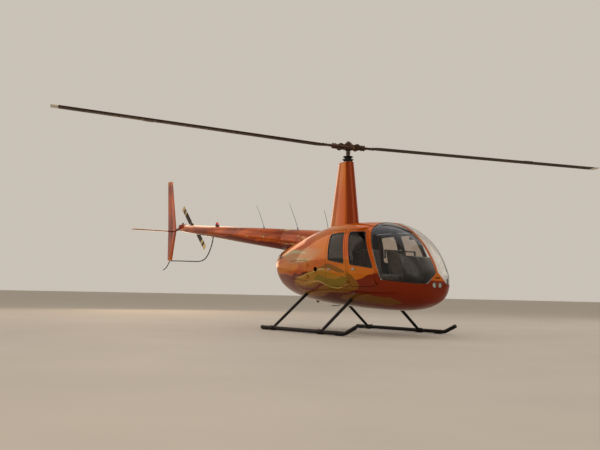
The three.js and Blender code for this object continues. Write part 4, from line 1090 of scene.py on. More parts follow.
for sign, side in SIDES:
    leaf = copy_of(wall, f"cowl_door_leaf_{side}")
    outline = rounded(COWL_DOOR, DOOR_RADIUS)
    trim(leaf, side_prism("leaf_edge", outline, sign * 0.2, sign * 0.8, EDGE_TAPER, average(COWL_DOOR)))
    paint_faces(leaf, [body_paint, lining], [COWL_DOOR])
    skin_shading(leaf)
    finish_piece(leaf, f"cowl_door_{side}", "orange_panel", f"cowl_door_{side}")
    hinge_y = max(float(skin_y(COWL_HINGE_X + MAST, z)) for z in COWL_HINGE_HEIGHTS)
    hinge("cowl", side, f"cowl_door_{side}", COWL_HINGE_X, hinge_y, COWL_HINGE_HEIGHTS, 0)
    studs = []
    for x, z in ((-0.99, 0.93), (-0.99, 1.05), (-0.99, 1.17), (-0.70, 1.185), (-0.70, 0.895)):
        y = sign * float(skin_y(x + MAST, z))
        out = Vector(skin_normals(np.array([[x + MAST, y, z]]))[0])
        foot = Vector((x, y, z)) - out * 0.002
        studs.append(turned("stud", foot, foot + out * 0.0055, [(0, 0.0105), (0.5, 0.0105), (1, 0.0075)], 20))
    dress(joined(f"cowl_door_fasteners_{side}", studs), bare_steel, f"cowl_door_{side}", "bare_steel")


# Rear louvre: behind the slots between the cowling's ribs under the boom, a black moulded panel whose own
# slots are set lower, so that its blades hide the inside and let the cooling air out.
grille = cut(solid_body("rear_louvre", RIB_THICK + 0.0005), solid_body("louvre_inside", 0.022))
trim(grille, sector_prism("louvre_edge", GRILLE_INNER + 0.001, GRILLE_OUTER - 0.001, 0.002))
for start in slot_starts:
    low = start + 0.4 * slot_pitch
    cut(grille, sector_prism("louvre_slot", low, low + 0.3 * slot_pitch, 0.09))
tidy_mesh(grille)
soften(grille, 0.0012, 2, 50)
dress(grille, rubber, "airframe", "black_trim", "rear_grille")


# Engine: a plain block where the engine's mass is, in dull grey cast metal, and the tailpipe in heat-stained
# steel, open at its end.
cast_metal = speckled(
    "engine_cast_metal", (0.10, 0.10, 0.098, 1), (0.17, 0.165, 0.16, 1), 18, 0.6, 0.001, 0.6)
stained_steel = speckled(
    "heat_stained_steel", (0.10, 0.065, 0.045, 1), (0.24, 0.19, 0.15, 1), 13, 0.45, 0.0006, 0.85)


def smooth_path(points, steps):
    """Points on a smooth curve through the given ones."""
    table = np.array(points, float)
    return smooth_curve(2 * table[0] - table[1], table, 2 * table[-1] - table[-2], steps)


def tube(name, points, radius, ends=True):
    """A round tube along a smooth path, from a curve with a round bevel."""
    line = smooth_path(points, 8) + (MAST, 0, 0)
    curve = bpy.data.curves.new(name, "CURVE")
    curve.dimensions = "3D"
    curve.bevel_depth = radius
    curve.bevel_resolution = 6
    curve.use_fill_caps = ends
    spline = curve.splines.new("POLY")
    spline.points.add(len(line) - 1)
    spline.points.foreach_set("co", np.column_stack([line, np.ones(len(line))]).ravel())
    made = bpy.data.objects.new(name, curve)
    bpy.context.scene.collection.objects.link(made)
    select_only(made)
    bpy.ops.object.convert(target="MESH")
    made = named(name)
    tidy_mesh(made, 0.00005)
    smooth_below(40)
    return made


engine = bpy.data.objects["engine_block"]
engine.data.materials.clear()
engine.data.materials.append(cast_metal)
pipe = tube("exhaust_pipe", TAILPIPE_PATH, 0.032, ends=False)
modify(pipe, "SOLIDIFY", thickness=0.002, offset=-1)
dress(pipe, stained_steel, "airframe", "bare_steel", "exhaust_tailpipe")


# Cabin floor and bulkhead: carpet over honeycomb panel, and the firewall behind the rear bench, trimmed in
# the same dark cloth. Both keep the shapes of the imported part.
carpet = speckled("cabin_carpet", (0.030, 0.023, 0.018, 1), (0.062, 0.048, 0.038, 1), 55, 0.95, 0.002)
trim_cloth = speckled(
    "bulkhead_trim_cloth", (0.050, 0.039, 0.031, 1), (0.080, 0.063, 0.050, 1), 30, 0.9, 0.001)
for node, finish in (("cabin_floor", carpet), ("cabin_bulkhead", trim_cloth)):
    panel = bpy.data.objects[node]
    panel.data.materials.clear()
    panel.data.materials.append(finish)


# Seats: foam cushions in woven cloth, two in front and a bench for two behind. Each cushion is a slightly
# small block swollen by a cloth simulation, then sewn with grooves and welted round its edge.
SEAT_CLOTH_DARK, SEAT_CLOTH_LIGHT = (0.052, 0.040, 0.031, 1), (0.115, 0.090, 0.070, 1)
CUSHION_VOXEL, CUSHION_LIMIT = 0.008, 0.022
SWELL_FRAMES = 20


def woven_cloth(name, low, high, threads=420):
    """Cloth with crossing threads, a soft sheen and tones that wander from panel to panel, darker where the
    weave dips as painted shade in its hollows.
    """
    made = new_material(name)
    place, x, y, z = object_axes(made)
    surface = shader(made, Roughness=0.88, Sheen_Weight=0.45, Sheen_Roughness=0.5)
    tone = noise_value(made, place, 6, 4)
    shade = noise_value(made, place, 70, 3)
    base = tones(made, tone, 0.3, 0.7, low, high)
    threads_out = []
    for first, second in ((x, z), (y, z)):
        slope = combine(made, "MULTIPLY_ADD", second, 0.6, first)
        threads_out.append(combine(made, "SINE", combine(made, "MULTIPLY", slope, threads * 2 * math.pi)))
    weave = combine(made, "MULTIPLY", threads_out[0], threads_out[1])
    weave = combine(made, "MULTIPLY_ADD", weave, 0.5, shade)
    # darker where the weave's height is low: painted shade in the hollows between threads
    darker = tones(made, weave, 0.1, 1.0, tuple(0.72 * c for c in low[:3]) + (1,), base)
    wire(made, darker, surface.inputs["Base Color"])
    raise_grain(made, surface, weave, 0.5, 0.0008)
    return made


def swollen_block(name, size):
    """A cushion form of this size with its base on z = 0, swollen under pressure and kept near its block."""
    depth, width, height = size
    inset = 0.010
    block = box_between(
        name, (inset, inset - width / 2, 0), (depth - inset, width / 2 - inset, height - inset))
    modify(block, "BEVEL", width=0.022, segments=4)
    modify(block, "REMESH", mode="VOXEL", voxel_size=CUSHION_VOXEL)
    before = points_of(block)
    select_only(block)
    cloth = block.modifiers.new("swell", "CLOTH")
    cloth.settings.use_pressure = True
    cloth.settings.uniform_pressure_force = 4
    cloth.settings.effector_weights.gravity = 0
    for frame_number in range(1, SWELL_FRAMES + 1):
        bpy.context.scene.frame_set(frame_number)
    bpy.ops.object.modifier_apply(modifier=cloth.name)
    bpy.context.scene.frame_set(1)
    move = points_of(block) - before
    length = np.linalg.norm(move, axis=1, keepdims=True)
    move *= np.minimum(1, CUSHION_LIMIT / np.maximum(length, 1e-6))
    points = before + move
    points[:, 0] = np.clip(points[:, 0], 0, depth)
    points[:, 1] = np.clip(points[:, 1], -width / 2, width / 2)
    points[:, 2] = np.clip(points[:, 2], 0, height + 0.006)
    move_points(block, points)
    modify(block, "SUBSURF", levels=1, render_levels=1)
    return block


def sewn(block, size, across, along, face):
    """Presses stitched grooves into the top, at these places across and along it."""
    depth, width, height = size
    points = points_of(block)
    normals = np.array([vertex.normal for vertex in block.data.vertices])
    facing = np.clip((normals @ np.array(face) - 0.35) / 0.4, 0, 1)
    deep = np.zeros(len(points))
    inside = (np.abs(points[:, 1]) < width / 2 - 0.055)
    for y in across:
        deep += 0.0065 * np.exp(-((points[:, 1] - y) / 0.0065) ** 2)
    for spot, axis in along:
        deep += 0.0055 * np.exp(-((points[:, axis] - spot) / 0.0065) ** 2) * inside
    # the welt where the top panel meets the sides
    side_distance = width / 2 - np.abs(points[:, 1])
    deep += 0.0040 * np.exp(-((side_distance - 0.020) / 0.005) ** 2)
    x, y, z = points.T
    deep += 0.0050 * np.sin(y * 21 + x * 17) * np.sin(z * 19 + x * 13) * 0.35
    points -= normals * (deep * facing)[:, None]
    move_points(block, points)
    select_only(block)
    bpy.ops.object.shade_smooth()
    return block


seat_cloth = woven_cloth("seat_cloth", SEAT_CLOTH_DARK, SEAT_CLOTH_LIGHT)
SEAT_BASE_TOP = 0.8705
BACK_LEAN = math.radians(12)
CUSHION_SIZE = (0.345, 0.450, 0.086)
BACK_SIZE = (0.080, 0.450, 0.528)
cushion_form = sewn(
    swollen_block("cushion_form", CUSHION_SIZE), CUSHION_SIZE, (-0.150, 0.150), ((0.115, 0), (0.230, 0)),
    (0, 0, 1))
back_form = sewn(
    swollen_block("back_form", BACK_SIZE), BACK_SIZE, (-0.150, 0.150),
    ((0.110, 2), (0.220, 2), (0.330, 2), (0.430, 2)), (1, 0, 0))
SEAT_PLACES = [
    # name, middle across the cabin, width against the front seat's, front edges of base and back, CAD nodes
    ("front_right", -0.290, 1.0, 1.080, 0.985, ("seat_cushion_front_right", "seat_back_front_right")),
    ("front_left", 0.290, 1.0, 1.080, 0.985, ("seat_cushion_front_left", "seat_back_front_left")),
    ("rear_right", -0.258, 1.135, 0.330, 0.232, ("seat_cushion_rear", "seat_back_rear")),
    ("rear_left", 0.258, 1.135, 0.330, 0.232, ("seat_cushion_rear", "seat_back_rear")),
]
for name, y, wide, cushion_x, back_x, nodes in SEAT_PLACES:
    deep = 1.07 if "rear" in name else 1.0
    cushion = copy_of(cushion_form, f"seat_cushion_{name}_padded")
    cushion.data.transform(
        Matrix.Translation((cushion_x + MAST, y, SEAT_BASE_TOP)) @ Matrix.Diagonal((deep, wide, 1, 1)))
    back = copy_of(back_form, f"seat_back_{name}_padded")
    back.data.transform(
        Matrix.Translation((back_x + MAST, y, SEAT_BASE_TOP)) @ Matrix.Rotation(-BACK_LEAN, 4, "Y")
        @ Matrix.Diagonal((1, wide, 1, 1)))
    for piece, node in ((cushion, nodes[0]), (back, nodes[1])):
        piece.data.materials.append(seat_cloth)
        finish_piece(piece, "airframe", "seat_cloth", node)
for form in (cushion_form, back_form):
    bpy.data.objects.remove(form)


# Harnesses: flat woven straps over each front seat back and across its cushion, with a steel buckle.
def lofted(name, rings, smooth_angle=35):
    """A closed skin over rings of points, with flat ends."""
    made = wrapped_grid(name, np.array(rings))
    tidy_mesh(made, 0.00005, outward=False)
    edit_all()
    bpy.ops.mesh.fill_holes(sides=0)
    face_outward()
    smooth_below(smooth_angle)
    return made


STRAP_THICK = 0.0016


def strap(name, points, width, across=(0, 1, 0)):
    """A flat strap along a smooth path, its width along one direction."""
    line = smooth_path(points, 10) + (MAST, 0, 0)
    side = np.array(across, float)
    along = np.gradient(line, axis=0)
    up = np.cross(along, side)
    up /= np.linalg.norm(up, axis=1, keepdims=True)
    section = [
        (-0.5, -0.5), (-0.5, 0.5), (-0.25, 0.6), (0, 0.62), (0.25, 0.6), (0.5, 0.5), (0.5, -0.5), (0, -0.5),
        (-0.5, -0.5)]
    rings = [
        [point + side * width * a + lift * STRAP_THICK * b for a, b in section]
        for point, lift in zip(line, up)]
    return lofted(name, rings)


webbing = woven_cloth("harness_webbing", (0.030, 0.026, 0.022, 1), (0.060, 0.052, 0.044, 1), 700)
for sign, side in SIDES:
    y = sign * 0.290
    straps = [
        strap("shoulder_strap", [(0.918, y + sign * 0.085, 1.404), (0.955, y + sign * 0.086, 1.402),
                                 (0.985, y + sign * 0.088, 1.370), (1.020, y + sign * 0.096, 1.230),
                                 (1.056, y + sign * 0.110, 1.080), (1.098, y + sign * 0.125, 0.985),
                                 (1.140, y + sign * 0.135, 0.973)], 0.045),
        strap("lap_strap", [(1.130, y - 0.185, 0.966), (1.160, y - 0.120, 0.974), (1.180, y, 0.977),
                            (1.160, y + 0.120, 0.974), (1.130, y + 0.185, 0.966)], 0.045, (1, 0, 0)),
    ]
    dress(joined(f"harness_{side}", straps), webbing, "airframe", "black_trim")
    buckle = box_between(
        f"harness_buckle_{side}", (MAST + 1.146, y + sign * 0.100, 0.974),
        (MAST + 1.200, y + sign * 0.140, 0.986))
    soften(buckle, 0.004, 3)
    dress(buckle, bare_steel, "airframe", "bare_steel")


# Instrument console: a moulded pedestal with a rounded pod, and on its rear face a panel of round
# instruments with bezels, a radio stack and a row of switches.
CONSOLE_SIDE = [
    (1.560, 0.640), (1.900, 0.640), (1.985, 0.850), (2.010, 1.030), (1.870, 1.235), (1.640, 1.262),
    (1.585, 1.180)]
CONSOLE_HALF = 0.170
panel_plastic = speckled("console_moulding", (0.012, 0.011, 0.010, 1), (0.030, 0.027, 0.024, 1), 26, 0.62)
pedestal = side_prism(
    "console_pedestal", rounded(grown(CONSOLE_SIDE, -0.0005), 0.040), -CONSOLE_HALF, CONSOLE_HALF)
trim(pedestal, solid_body("console_limit", 0.062))
tidy_mesh(pedestal)
waist = points_of(pedestal)
# the pod is broad at the top and the leg below it narrow
share = np.clip((waist[:, 2] - 0.86) / 0.14, 0, 1)
waist[:, 1] *= 0.62 + 0.38 * share * share * (3 - 2 * share)
move_points(pedestal, waist)
soften(pedestal, 0.012, 3, 35)
dress(pedestal, panel_plastic, "airframe", "black_trim", "instrument_console")

dial_black = speckled("dial_face", (0.006, 0.006, 0.006, 1), (0.014, 0.014, 0.013, 1), 60, 0.35)
dial_white = speckled("dial_marks", (0.60, 0.58, 0.52, 1), (0.72, 0.70, 0.64, 1), 60, 0.6)
PANEL_FOOT, PANEL_TOP = Vector((1.574, 0, 0.905)), Vector((1.587, 0, 1.185))
panel_up = (PANEL_TOP - PANEL_FOOT).normalized()
panel_out = Vector((-panel_up.z, 0, panel_up.x))
bezels, faces, marks = [], [], []
for column, y in enumerate((-0.108, -0.036, 0.036, 0.108)):
    for row, height in enumerate((0.228, 0.150)):
        centre = PANEL_FOOT + panel_up * height + Vector((0, y, 0))
        bezels.append(turned(
            "bezel", centre - panel_out * 0.004, centre + panel_out * 0.007,
            [(0, 0.0340), (0.7, 0.0340), (1, 0.0305)], 32))
        faces.append(turned(
            "dial", centre + panel_out * 0.0065, centre + panel_out * 0.0078, [(0, 0.0285), (1, 0.0280)],
            32))
        turn = 0.7 + 1.3 * column + 0.9 * row
        needle = panel_up * math.cos(turn) + Vector((0, math.sin(turn), 0))
        marks.append(rod(
            "needle", centre + panel_out * 0.0082 - needle * 0.006,
            centre + panel_out * 0.0082 + needle * 0.022, 0.0016, 0.0006, 6))
        for k in range(10):
            tick = 2 * math.pi * k / 12 + 0.5
            way = panel_up * math.cos(tick) + Vector((0, math.sin(tick), 0))
            marks.append(rod(
                "tick", centre + panel_out * 0.0080 + way * 0.0225,
                centre + panel_out * 0.0080 + way * 0.0268, 0.0007, 0.0007, 4))
for k, height in enumerate((0.096, 0.060)):
    low = PANEL_FOOT + panel_up * (height - 0.016)
    faces.append(box_between(
        "radio", (MAST + low.x - 0.008, -0.078, low.z), (MAST + low.x + 0.006, 0.078, low.z + 0.030)))
    soften(faces[-1], 0.002, 2)
    for y in (-0.066, 0.066):
        knob = Vector((low.x, y, low.z + 0.015))
        bezels.append(turned(
            "knob", knob - Vector((0.006, 0, 0)), knob - Vector((0.018, 0, 0)),
            [(0, 0.0085), (0.4, 0.0085), (0.45, 0.0065), (1, 0.0060)], 20))
for k in range(7):
    switch = PANEL_FOOT + panel_up * 0.022 + Vector((0, -0.075 + 0.025 * k, 0))
    bezels.append(rod("switch", switch, switch + panel_out * 0.012 + panel_up * 0.004, 0.0030, 0.0022, 10))
for name, parts, finish, slot in (
        ("instrument_bezels", bezels, panel_plastic, "black_trim"),
        ("instrument_faces", faces, dial_black, "black_trim"),
        ("instrument_marks", marks, dial_white, "bare_steel")):
    dress(joined(name, parts), finish, "airframe", slot)


# Controls: the centre stick with its swinging T-bar and two hand grips, and the collective lever with its
# twist grip between the front seats.
def ball(name, centre, radius, stretch=(1, 1, 1), segments=32, rings=20):
    deselect()
    bpy.ops.mesh.primitive_uv_sphere_add(
        segments=segments, ring_count=rings, radius=radius,
        location=(centre[0] + MAST, centre[1], centre[2]), scale=stretch)
    apply_place()
    bpy.ops.object.shade_smooth()
    return named(name)


control_paint = speckled("control_tube_paint", (0.016, 0.015, 0.014, 1), (0.034, 0.031, 0.028, 1), 20, 0.4)
grip_rubber = speckled(
    "hand_grip_rubber", (0.010, 0.010, 0.010, 1), (0.020, 0.019, 0.018, 1), 90, 0.75, 0.001)
stick = [
    turned("stick_boot", (1.475, 0, 0.6405), (1.470, 0, 0.730),
        [(0, 0.034), (0.15, 0.034), (0.25, 0.030), (0.35, 0.031), (0.45, 0.026), (0.55, 0.027),
         (0.65, 0.022), (0.75, 0.023), (0.9, 0.018), (1, 0.016)], 28),
    tube("stick_tube", [(1.472, 0, 0.700), (1.445, 0, 0.860), (1.385, 0, 1.150), (1.340, 0, 1.310)],
        0.0145),
    turned("stick_pivot", (1.330, -0.032, 1.340), (1.330, 0.032, 1.340),
        [(0, 0.020), (0.1, 0.024), (0.9, 0.024), (1, 0.020)], 28),
    rod("t_bar", (1.330, -0.322, 1.345), (1.330, 0.322, 1.345), 0.0105, sides=20)]
grips = []
for sign in (-1, 1):
    stick.append(ball("t_bar_end", (1.330, sign * 0.324, 1.345), 0.0135, segments=20, rings=12))
    grips.append(turned(
        "hand_grip", (1.331, sign * 0.328, 1.348), (1.344, sign * 0.328, 1.216),
        [(0, 0.0120), (0.04, 0.0165), (0.16, 0.0170), (0.22, 0.0140), (0.30, 0.0158), (0.38, 0.0138),
         (0.46, 0.0156), (0.54, 0.0138), (0.62, 0.0154), (0.70, 0.0140), (0.92, 0.0160), (1, 0.0130)], 24))
    stick.append(rod(
        "grip_button", (1.318, sign * 0.328, 1.330), (1.311, sign * 0.328, 1.331), 0.0050, 0.0042, 12))
dress(joined("centre_stick_tube", stick), control_paint, "airframe", "black_trim", "cyclic_stick")
dress(joined("centre_stick_grips", grips), grip_rubber, "airframe", "black_trim")
lever_base = box_between("lever_base", (MAST + 1.090, -0.055, 0.6405), (MAST + 1.130, -0.015, 0.690))
soften(lever_base, 0.004, 3)
lever_tube = rod("lever_tube", (1.102, -0.035, 0.681), (1.300, -0.035, 0.765), 0.0115, sides=20)
lever_grip = turned(
    "lever_grip", (1.290, -0.035, 0.7605), (1.420, -0.035, 0.815),
    [(0, 0.0120), (0.02, 0.0150), (0.14, 0.0150), (0.16, 0.0130), (0.30, 0.0130), (0.32, 0.0150),
     (0.94, 0.0150), (1, 0.0125)], 24)
dress(
    joined("collective_lever_tube", [lever_base, lever_tube]), control_paint, "airframe", "black_trim",
    "collective_lever")
lever_grip.data.materials.append(grip_rubber)
lever_grip.name = lever_grip.data.name = "collective_grip"
finish_piece(lever_grip, "airframe", "black_trim")


# Tail boom: a riveted cone of thin sheet in bays, let into the ridge of the cowling. It carries the paint's
# orange on top, deep red underneath, partly painted shade under the boom, and pale flecks between.
BOOM_FRONT, BOOM_REAR = RIDGE_REAR, -5.880
boom = boom_cone("boom_skin", BOOM_FRONT - 0.0005, BOOM_REAR)
soften(boom, 0.0015, 2, 50)
dress(boom, boom_finish, "airframe", "orange_metal", "tail_boom")


# Mast fairing: a tall moulded teardrop shell in two halves that hides the rotor shaft's tube, with a closing
# seam down its trailing edge.
FAIRING_SECTIONS = [
    # height, front, rear, half width
    (1.700, 0.310, -0.478, 0.142), (1.860, 0.285, -0.440, 0.130), (2.130, 0.245, -0.390, 0.119),
    (2.400, 0.205, -0.340, 0.108), (2.670, 0.165, -0.290, 0.098), (2.915, 0.126, -0.243, 0.0885),
    (2.934, 0.122, -0.238, 0.0860), (2.940, 0.114, -0.230, 0.0800),
]


TEARDROP_POINTS = 72


def teardrop(front, rear, half, z):
    angle = np.linspace(0, 2 * np.pi, TEARDROP_POINTS + 1)
    along = (1 + np.cos(angle)) / 2
    return np.column_stack(
        [rear + (front - rear) * along + MAST, half * np.sin(angle) * (0.55 + 0.55 * along),
         np.full(TEARDROP_POINTS + 1, z)])


def fairing_paint(name):
    """Orange with a darker red front in painted shade, parted by an upright edge, and a dark line down the
    seam behind.
    """
    made = new_material(name)
    place, x, _, z = object_axes(made)
    station = combine(made, "SUBTRACT", x, MAST)
    tone = noise_value(made, place, 1.4, 2, (1, 1, 0.5), (3, 0, 0))
    side = tones(made, tone, 0.35, 0.68, ORANGE, AMBER)
    # the front of the fairing, away from the light, turns rust red: painted shade
    front = combine(made, "MULTIPLY_ADD", z, 0.085, station)
    base = tones(made, front, 0.262, 0.300, side, RUST)
    behind = combine(made, "MULTIPLY_ADD", z, -0.1934, station)
    base = tones(made, behind, -0.785, -0.800, base, DARK_RED)
    surface = coat_and_peel(made, place)
    wire(made, base, surface.inputs["Base Color"])
    return made


fairing = lofted(
    "mast_fairing_skin", [teardrop(front, rear, half, z) for z, front, rear, half in FAIRING_SECTIONS])
dress(fairing, fairing_paint("fairing_paint"), "airframe", "orange_panel", "mast_fairing")


# Fins and stabilizer: thin aerofoil skins over ribs. The upper and lower fin stand on the gearbox end, and
# the stabilizer reaches out on the right only.
def aerofoil(chord, thickness, count=16):
    """A closed aerofoil outline: distance behind the quarter point, and height."""
    t = (1 - np.cos(np.linspace(0, np.pi, count + 1))) / 2
    rise = 5 * (0.2969 * np.sqrt(t) - 0.126 * t - 0.3516 * t ** 2 + 0.2843 * t ** 3 - 0.1036 * t ** 4)
    upper = np.column_stack([t, rise])
    outline = np.vstack([upper, upper[-2::-1] * (1, -1)])
    return outline * (-chord, thickness)


def fin_section(z, lead, trail, thickness):
    outline = aerofoil(lead - trail, thickness)
    return np.column_stack([outline[:, 0] + lead + MAST, outline[:, 1], np.full(len(outline), z)])


FIN_MIDDLE = 2.030
UPPER_FIN = [
    (FIN_MIDDLE + 0.0005, -6.222, -6.630, 0.042), (2.600, -6.349, -6.670, 0.034),
    (3.180, -6.478, -6.711, 0.026), (3.205, -6.484, -6.712, 0.022), (3.217, -6.497, -6.706, 0.010)]
LOWER_FIN = [
    (FIN_MIDDLE - 0.0005, -6.222, -6.630, 0.042), (1.700, -6.302, -6.624, 0.035),
    (1.352, -6.385, -6.618, 0.028), (1.335, -6.389, -6.616, 0.022), (1.327, -6.398, -6.608, 0.010)]


def fin_paint(name):
    made = new_material(name)
    place, _, _, z = object_axes(made)
    tone = noise_value(made, place, 1.4, 3, (1.5, 1, 0.8), (3, 2, 1))
    base = tones(made, tone, 0.35, 0.65, ORANGE, RUST)
    # the fins turn amber towards their top and bottom ends: a painted glow of light
    tip = edge_between(made, combine(made, "ABSOLUTE", combine(made, "SUBTRACT", z, 2.27)), 0.80, 0.97)
    surface = coat_and_peel(made, place, rough=0.3, coat=0.5)
    wire(made, blend_colours(made, tip, base, AMBER), surface.inputs["Base Color"])
    return made


fin_finish = fin_paint("fin_paint")
for name, rows, node in (
        ("upper_fin_skin", UPPER_FIN, "fin_upper"), ("lower_fin_skin", LOWER_FIN, "fin_lower")):
    fin = lofted(name, [fin_section(*row) for row in rows])
    dress(fin, fin_finish, "airframe", "orange_metal", node)

STABILIZER_Z = 2.010


def stabilizer_section(y, lead, trail, thickness):
    outline = aerofoil(lead - trail, thickness)
    return np.column_stack(
        [outline[:, 0] + lead + MAST, np.full(len(outline), y), outline[:, 1] + STABILIZER_Z])


red_paint = new_material("deep_red_paint")
red_place = object_axes(red_paint)[0]
red_surface = coat_and_peel(red_paint, red_place, rough=0.3, coat=0.5)
red_tone = noise_value(red_paint, red_place, 3, 3)
wire(red_paint, tones(red_paint, red_tone, 0.3, 0.7, DEEP_RED, RUST), red_surface.inputs["Base Color"])
stabilizer = lofted("stabilizer_skin", [stabilizer_section(*row) for row in (
    (-0.018, -6.300, -6.560, 0.030), (-0.500, -6.300, -6.560, 0.030), (-1.000, -6.300, -6.560, 0.030),
    (-1.014, -6.304, -6.556, 0.026), (-1.020, -6.312, -6.550, 0.014))])
dress(stabilizer, red_paint, "airframe", "red_paint", "horizontal_stabilizer")


# Guard tube and tail skid: bent steel tube, painted black. The guard runs from under the boom round the
# tail rotor's arc to the lower fin, and the skid drops back from the fin's foot.
black_paint = speckled(
    "black_gear_paint", (0.005, 0.004, 0.003, 1), (0.013, 0.010, 0.008, 1), 9, 0.5, gloss=0.14)
GUARD_PATH = [
    (-4.520, 0, 1.835), (-4.560, 0, 1.680), (-4.680, 0, 1.480), (-4.840, 0, 1.345), (-5.070, 0, 1.287),
    (-5.500, 0, 1.292), (-6.000, 0, 1.308), (-6.440, 0, 1.318)]
guard = tube("guard_tube", GUARD_PATH, 0.0115)
clamp = rod("guard_clamp", (-4.519, 0, 1.822), (-4.516, 0, 1.800), 0.030, 0.022, 20)
soften(clamp, 0.003)
dress(joined("guard_tube", [guard, clamp]), black_paint, "airframe", "black_metal", "tail_rotor_guard")
tail_skid = tube(
    "tail_skid_tube",
    [(-6.500, 0, 1.316), (-6.540, 0, 1.278), (-6.620, 0, 1.200), (-6.720, 0, 1.140), (-6.815, 0, 1.108)],
    0.0105)
dress(tail_skid, black_paint, "airframe", "black_metal", "tail_skid")


# Tail gearbox: a small cast casing on the boom's end, with a cover, a filler cap, its output shaft to the
# left and the tube that carries the fins behind it.
TAIL_X, TAIL_Y, TAIL_Z = TAIL_AXIS.x - MAST, TAIL_AXIS.y, TAIL_AXIS.z


bronze = speckled(
    "bronze_metal", (0.040, 0.019, 0.009, 1), (0.110, 0.056, 0.028, 1), 11, 0.40, metallic=0.5, gloss=0.35)
gearbox_parts = [
    turned("gearbox_neck", (-5.878, 0, boom_z(-5.878)), (-5.990, 0, boom_z(-5.990)),
           [(0, 0.080), (0.12, 0.080), (0.14, 0.074), (0.6, 0.070), (0.95, 0.064), (1.0, 0.058)]),
    ball("gearbox_casing", (TAIL_X - 0.025, 0, TAIL_Z - 0.014), 0.090, (1, 0.95, 0.9)),
    turned("gearbox_output", (TAIL_X, 0.040, TAIL_Z), (TAIL_X, 0.178, TAIL_Z),
           [(0, 0.060), (0.3, 0.060), (0.32, 0.048), (0.7, 0.040), (0.95, 0.034), (1, 0.030)]),
    turned("gearbox_cover", (TAIL_X - 0.02, -0.060, TAIL_Z - 0.01), (TAIL_X - 0.02, -0.096, TAIL_Z - 0.01),
           [(0, 0.056), (0.5, 0.056), (0.55, 0.044), (0.95, 0.040), (1, 0.034)]),
    turned("filler_cap", (TAIL_X - 0.02, 0, TAIL_Z + 0.055), (TAIL_X - 0.02, 0, TAIL_Z + 0.092),
           [(0, 0.016), (0.5, 0.016), (0.52, 0.021), (0.95, 0.021), (1, 0.018)]),
    turned("fin_carrier", (TAIL_X - 0.070, 0, TAIL_Z - 0.030), (-6.245, 0, FIN_MIDDLE + 0.006),
           [(0, 0.044), (0.2, 0.038), (0.9, 0.031), (1, 0.031)]),
]
for x in (-5.885, -5.985):
    for k in range(6):
        turn = 2 * math.pi * (k + 0.5) / 6
        wide = 0.072 if x > -5.9 else 0.055
        gearbox_parts.append(rod(
            "gearbox_bolt", (x + 0.004, wide * math.cos(turn), boom_z(x) + wide * math.sin(turn)),
            (x - 0.010, wide * math.cos(turn), boom_z(x) + wide * math.sin(turn)), 0.006, sides=6))
dress(joined("gearbox_casting", gearbox_parts), red_paint, "airframe", "red_paint", "tail_gearbox")


# Tail rotor: two metal blades on a teetering yoke; its blades are dark with pale bands at the tips.
def tip_bands(name, dark, light, start, bands, centre):
    """Dark paint with light bands at these distances from the hub's axis."""
    made = new_material(name)
    place = put(made, "ShaderNodeTexCoord").outputs["Object"]
    shift = put(made, "ShaderNodeVectorMath", operation="DISTANCE")
    shift.inputs[1].default_value = centre
    wire(made, place, shift.inputs[0])
    out = shift.outputs["Value"]
    surface = shader(made, Roughness=0.42, Metallic=0.25)
    tone = noise_value(made, place, 5, 4)
    base = tones(made, tone, 0.35, 0.65, dark, start)
    for low, high in bands:
        band = combine(
            made, "MULTIPLY", edge_between(made, out, low - 0.002, low + 0.002),
            edge_between(made, out, high + 0.002, high - 0.002))
        base = blend_colours(made, band, base, light)
    wire(made, base, surface.inputs["Base Color"])
    wear = noise_value(made, place, 30, 3)
    wire(made, edge_between(made, wear, -0.6, 1.9), surface.inputs["Roughness"])
    return made


TAIL_RADIUS = 0.737
TAIL_TILT = math.radians(45)
tail_blade_paint = tip_bands(
    "tail_blade_paint", (0.016, 0.012, 0.009, 1), (0.62, 0.50, 0.20, 1), (0.035, 0.026, 0.020, 1),
    [(TAIL_RADIUS - 0.10, TAIL_RADIUS + 0.02), (TAIL_RADIUS - 0.24, TAIL_RADIUS - 0.17)], TAIL_AXIS)


def about_tail(piece, turn):
    """Turns a tail rotor piece about the tail rotor's axis."""
    spin = Matrix.Translation(TAIL_AXIS) @ Matrix.Rotation(turn, 4, "Y") @ Matrix.Translation(-TAIL_AXIS)
    piece.data.transform(spin)
    return piece


def tail_blade(name):
    rows = [
        (0.150, 0.070, 0.022), (0.185, 0.095, 0.020), (0.230, 0.130, 0.017), (0.480, 0.130, 0.015),
        (TAIL_RADIUS - 0.020, 0.130, 0.014), (TAIL_RADIUS - 0.006, 0.126, 0.011),
        (TAIL_RADIUS, 0.116, 0.006)]
    rings = []
    for out, chord, thick in rows:
        outline = aerofoil(chord, thick, 12)
        rings.append(np.column_stack(
            [outline[:, 0] + chord * 0.25 + TAIL_AXIS.x, outline[:, 1] + TAIL_Y,
             np.full(len(outline), out + TAIL_Z)]))
    blade = lofted(name, rings)
    cuff = turned(
        "tail_blade_cuff", (TAIL_X, TAIL_Y, TAIL_Z + 0.121), (TAIL_X, TAIL_Y, TAIL_Z + 0.225),
        [(0, 0.020), (0.3, 0.020), (0.35, 0.016), (0.9, 0.012), (1, 0.008)], 24)
    return joined(name, [blade, cuff])


for name, extra in (("a", 0), ("b", math.pi)):
    blade = about_tail(tail_blade(f"tail_blade_{name}_skin"), extra - TAIL_TILT)
    dress(blade, tail_blade_paint, "tail_rotor", "blade_paint", f"tail_rotor_blade_{name}")

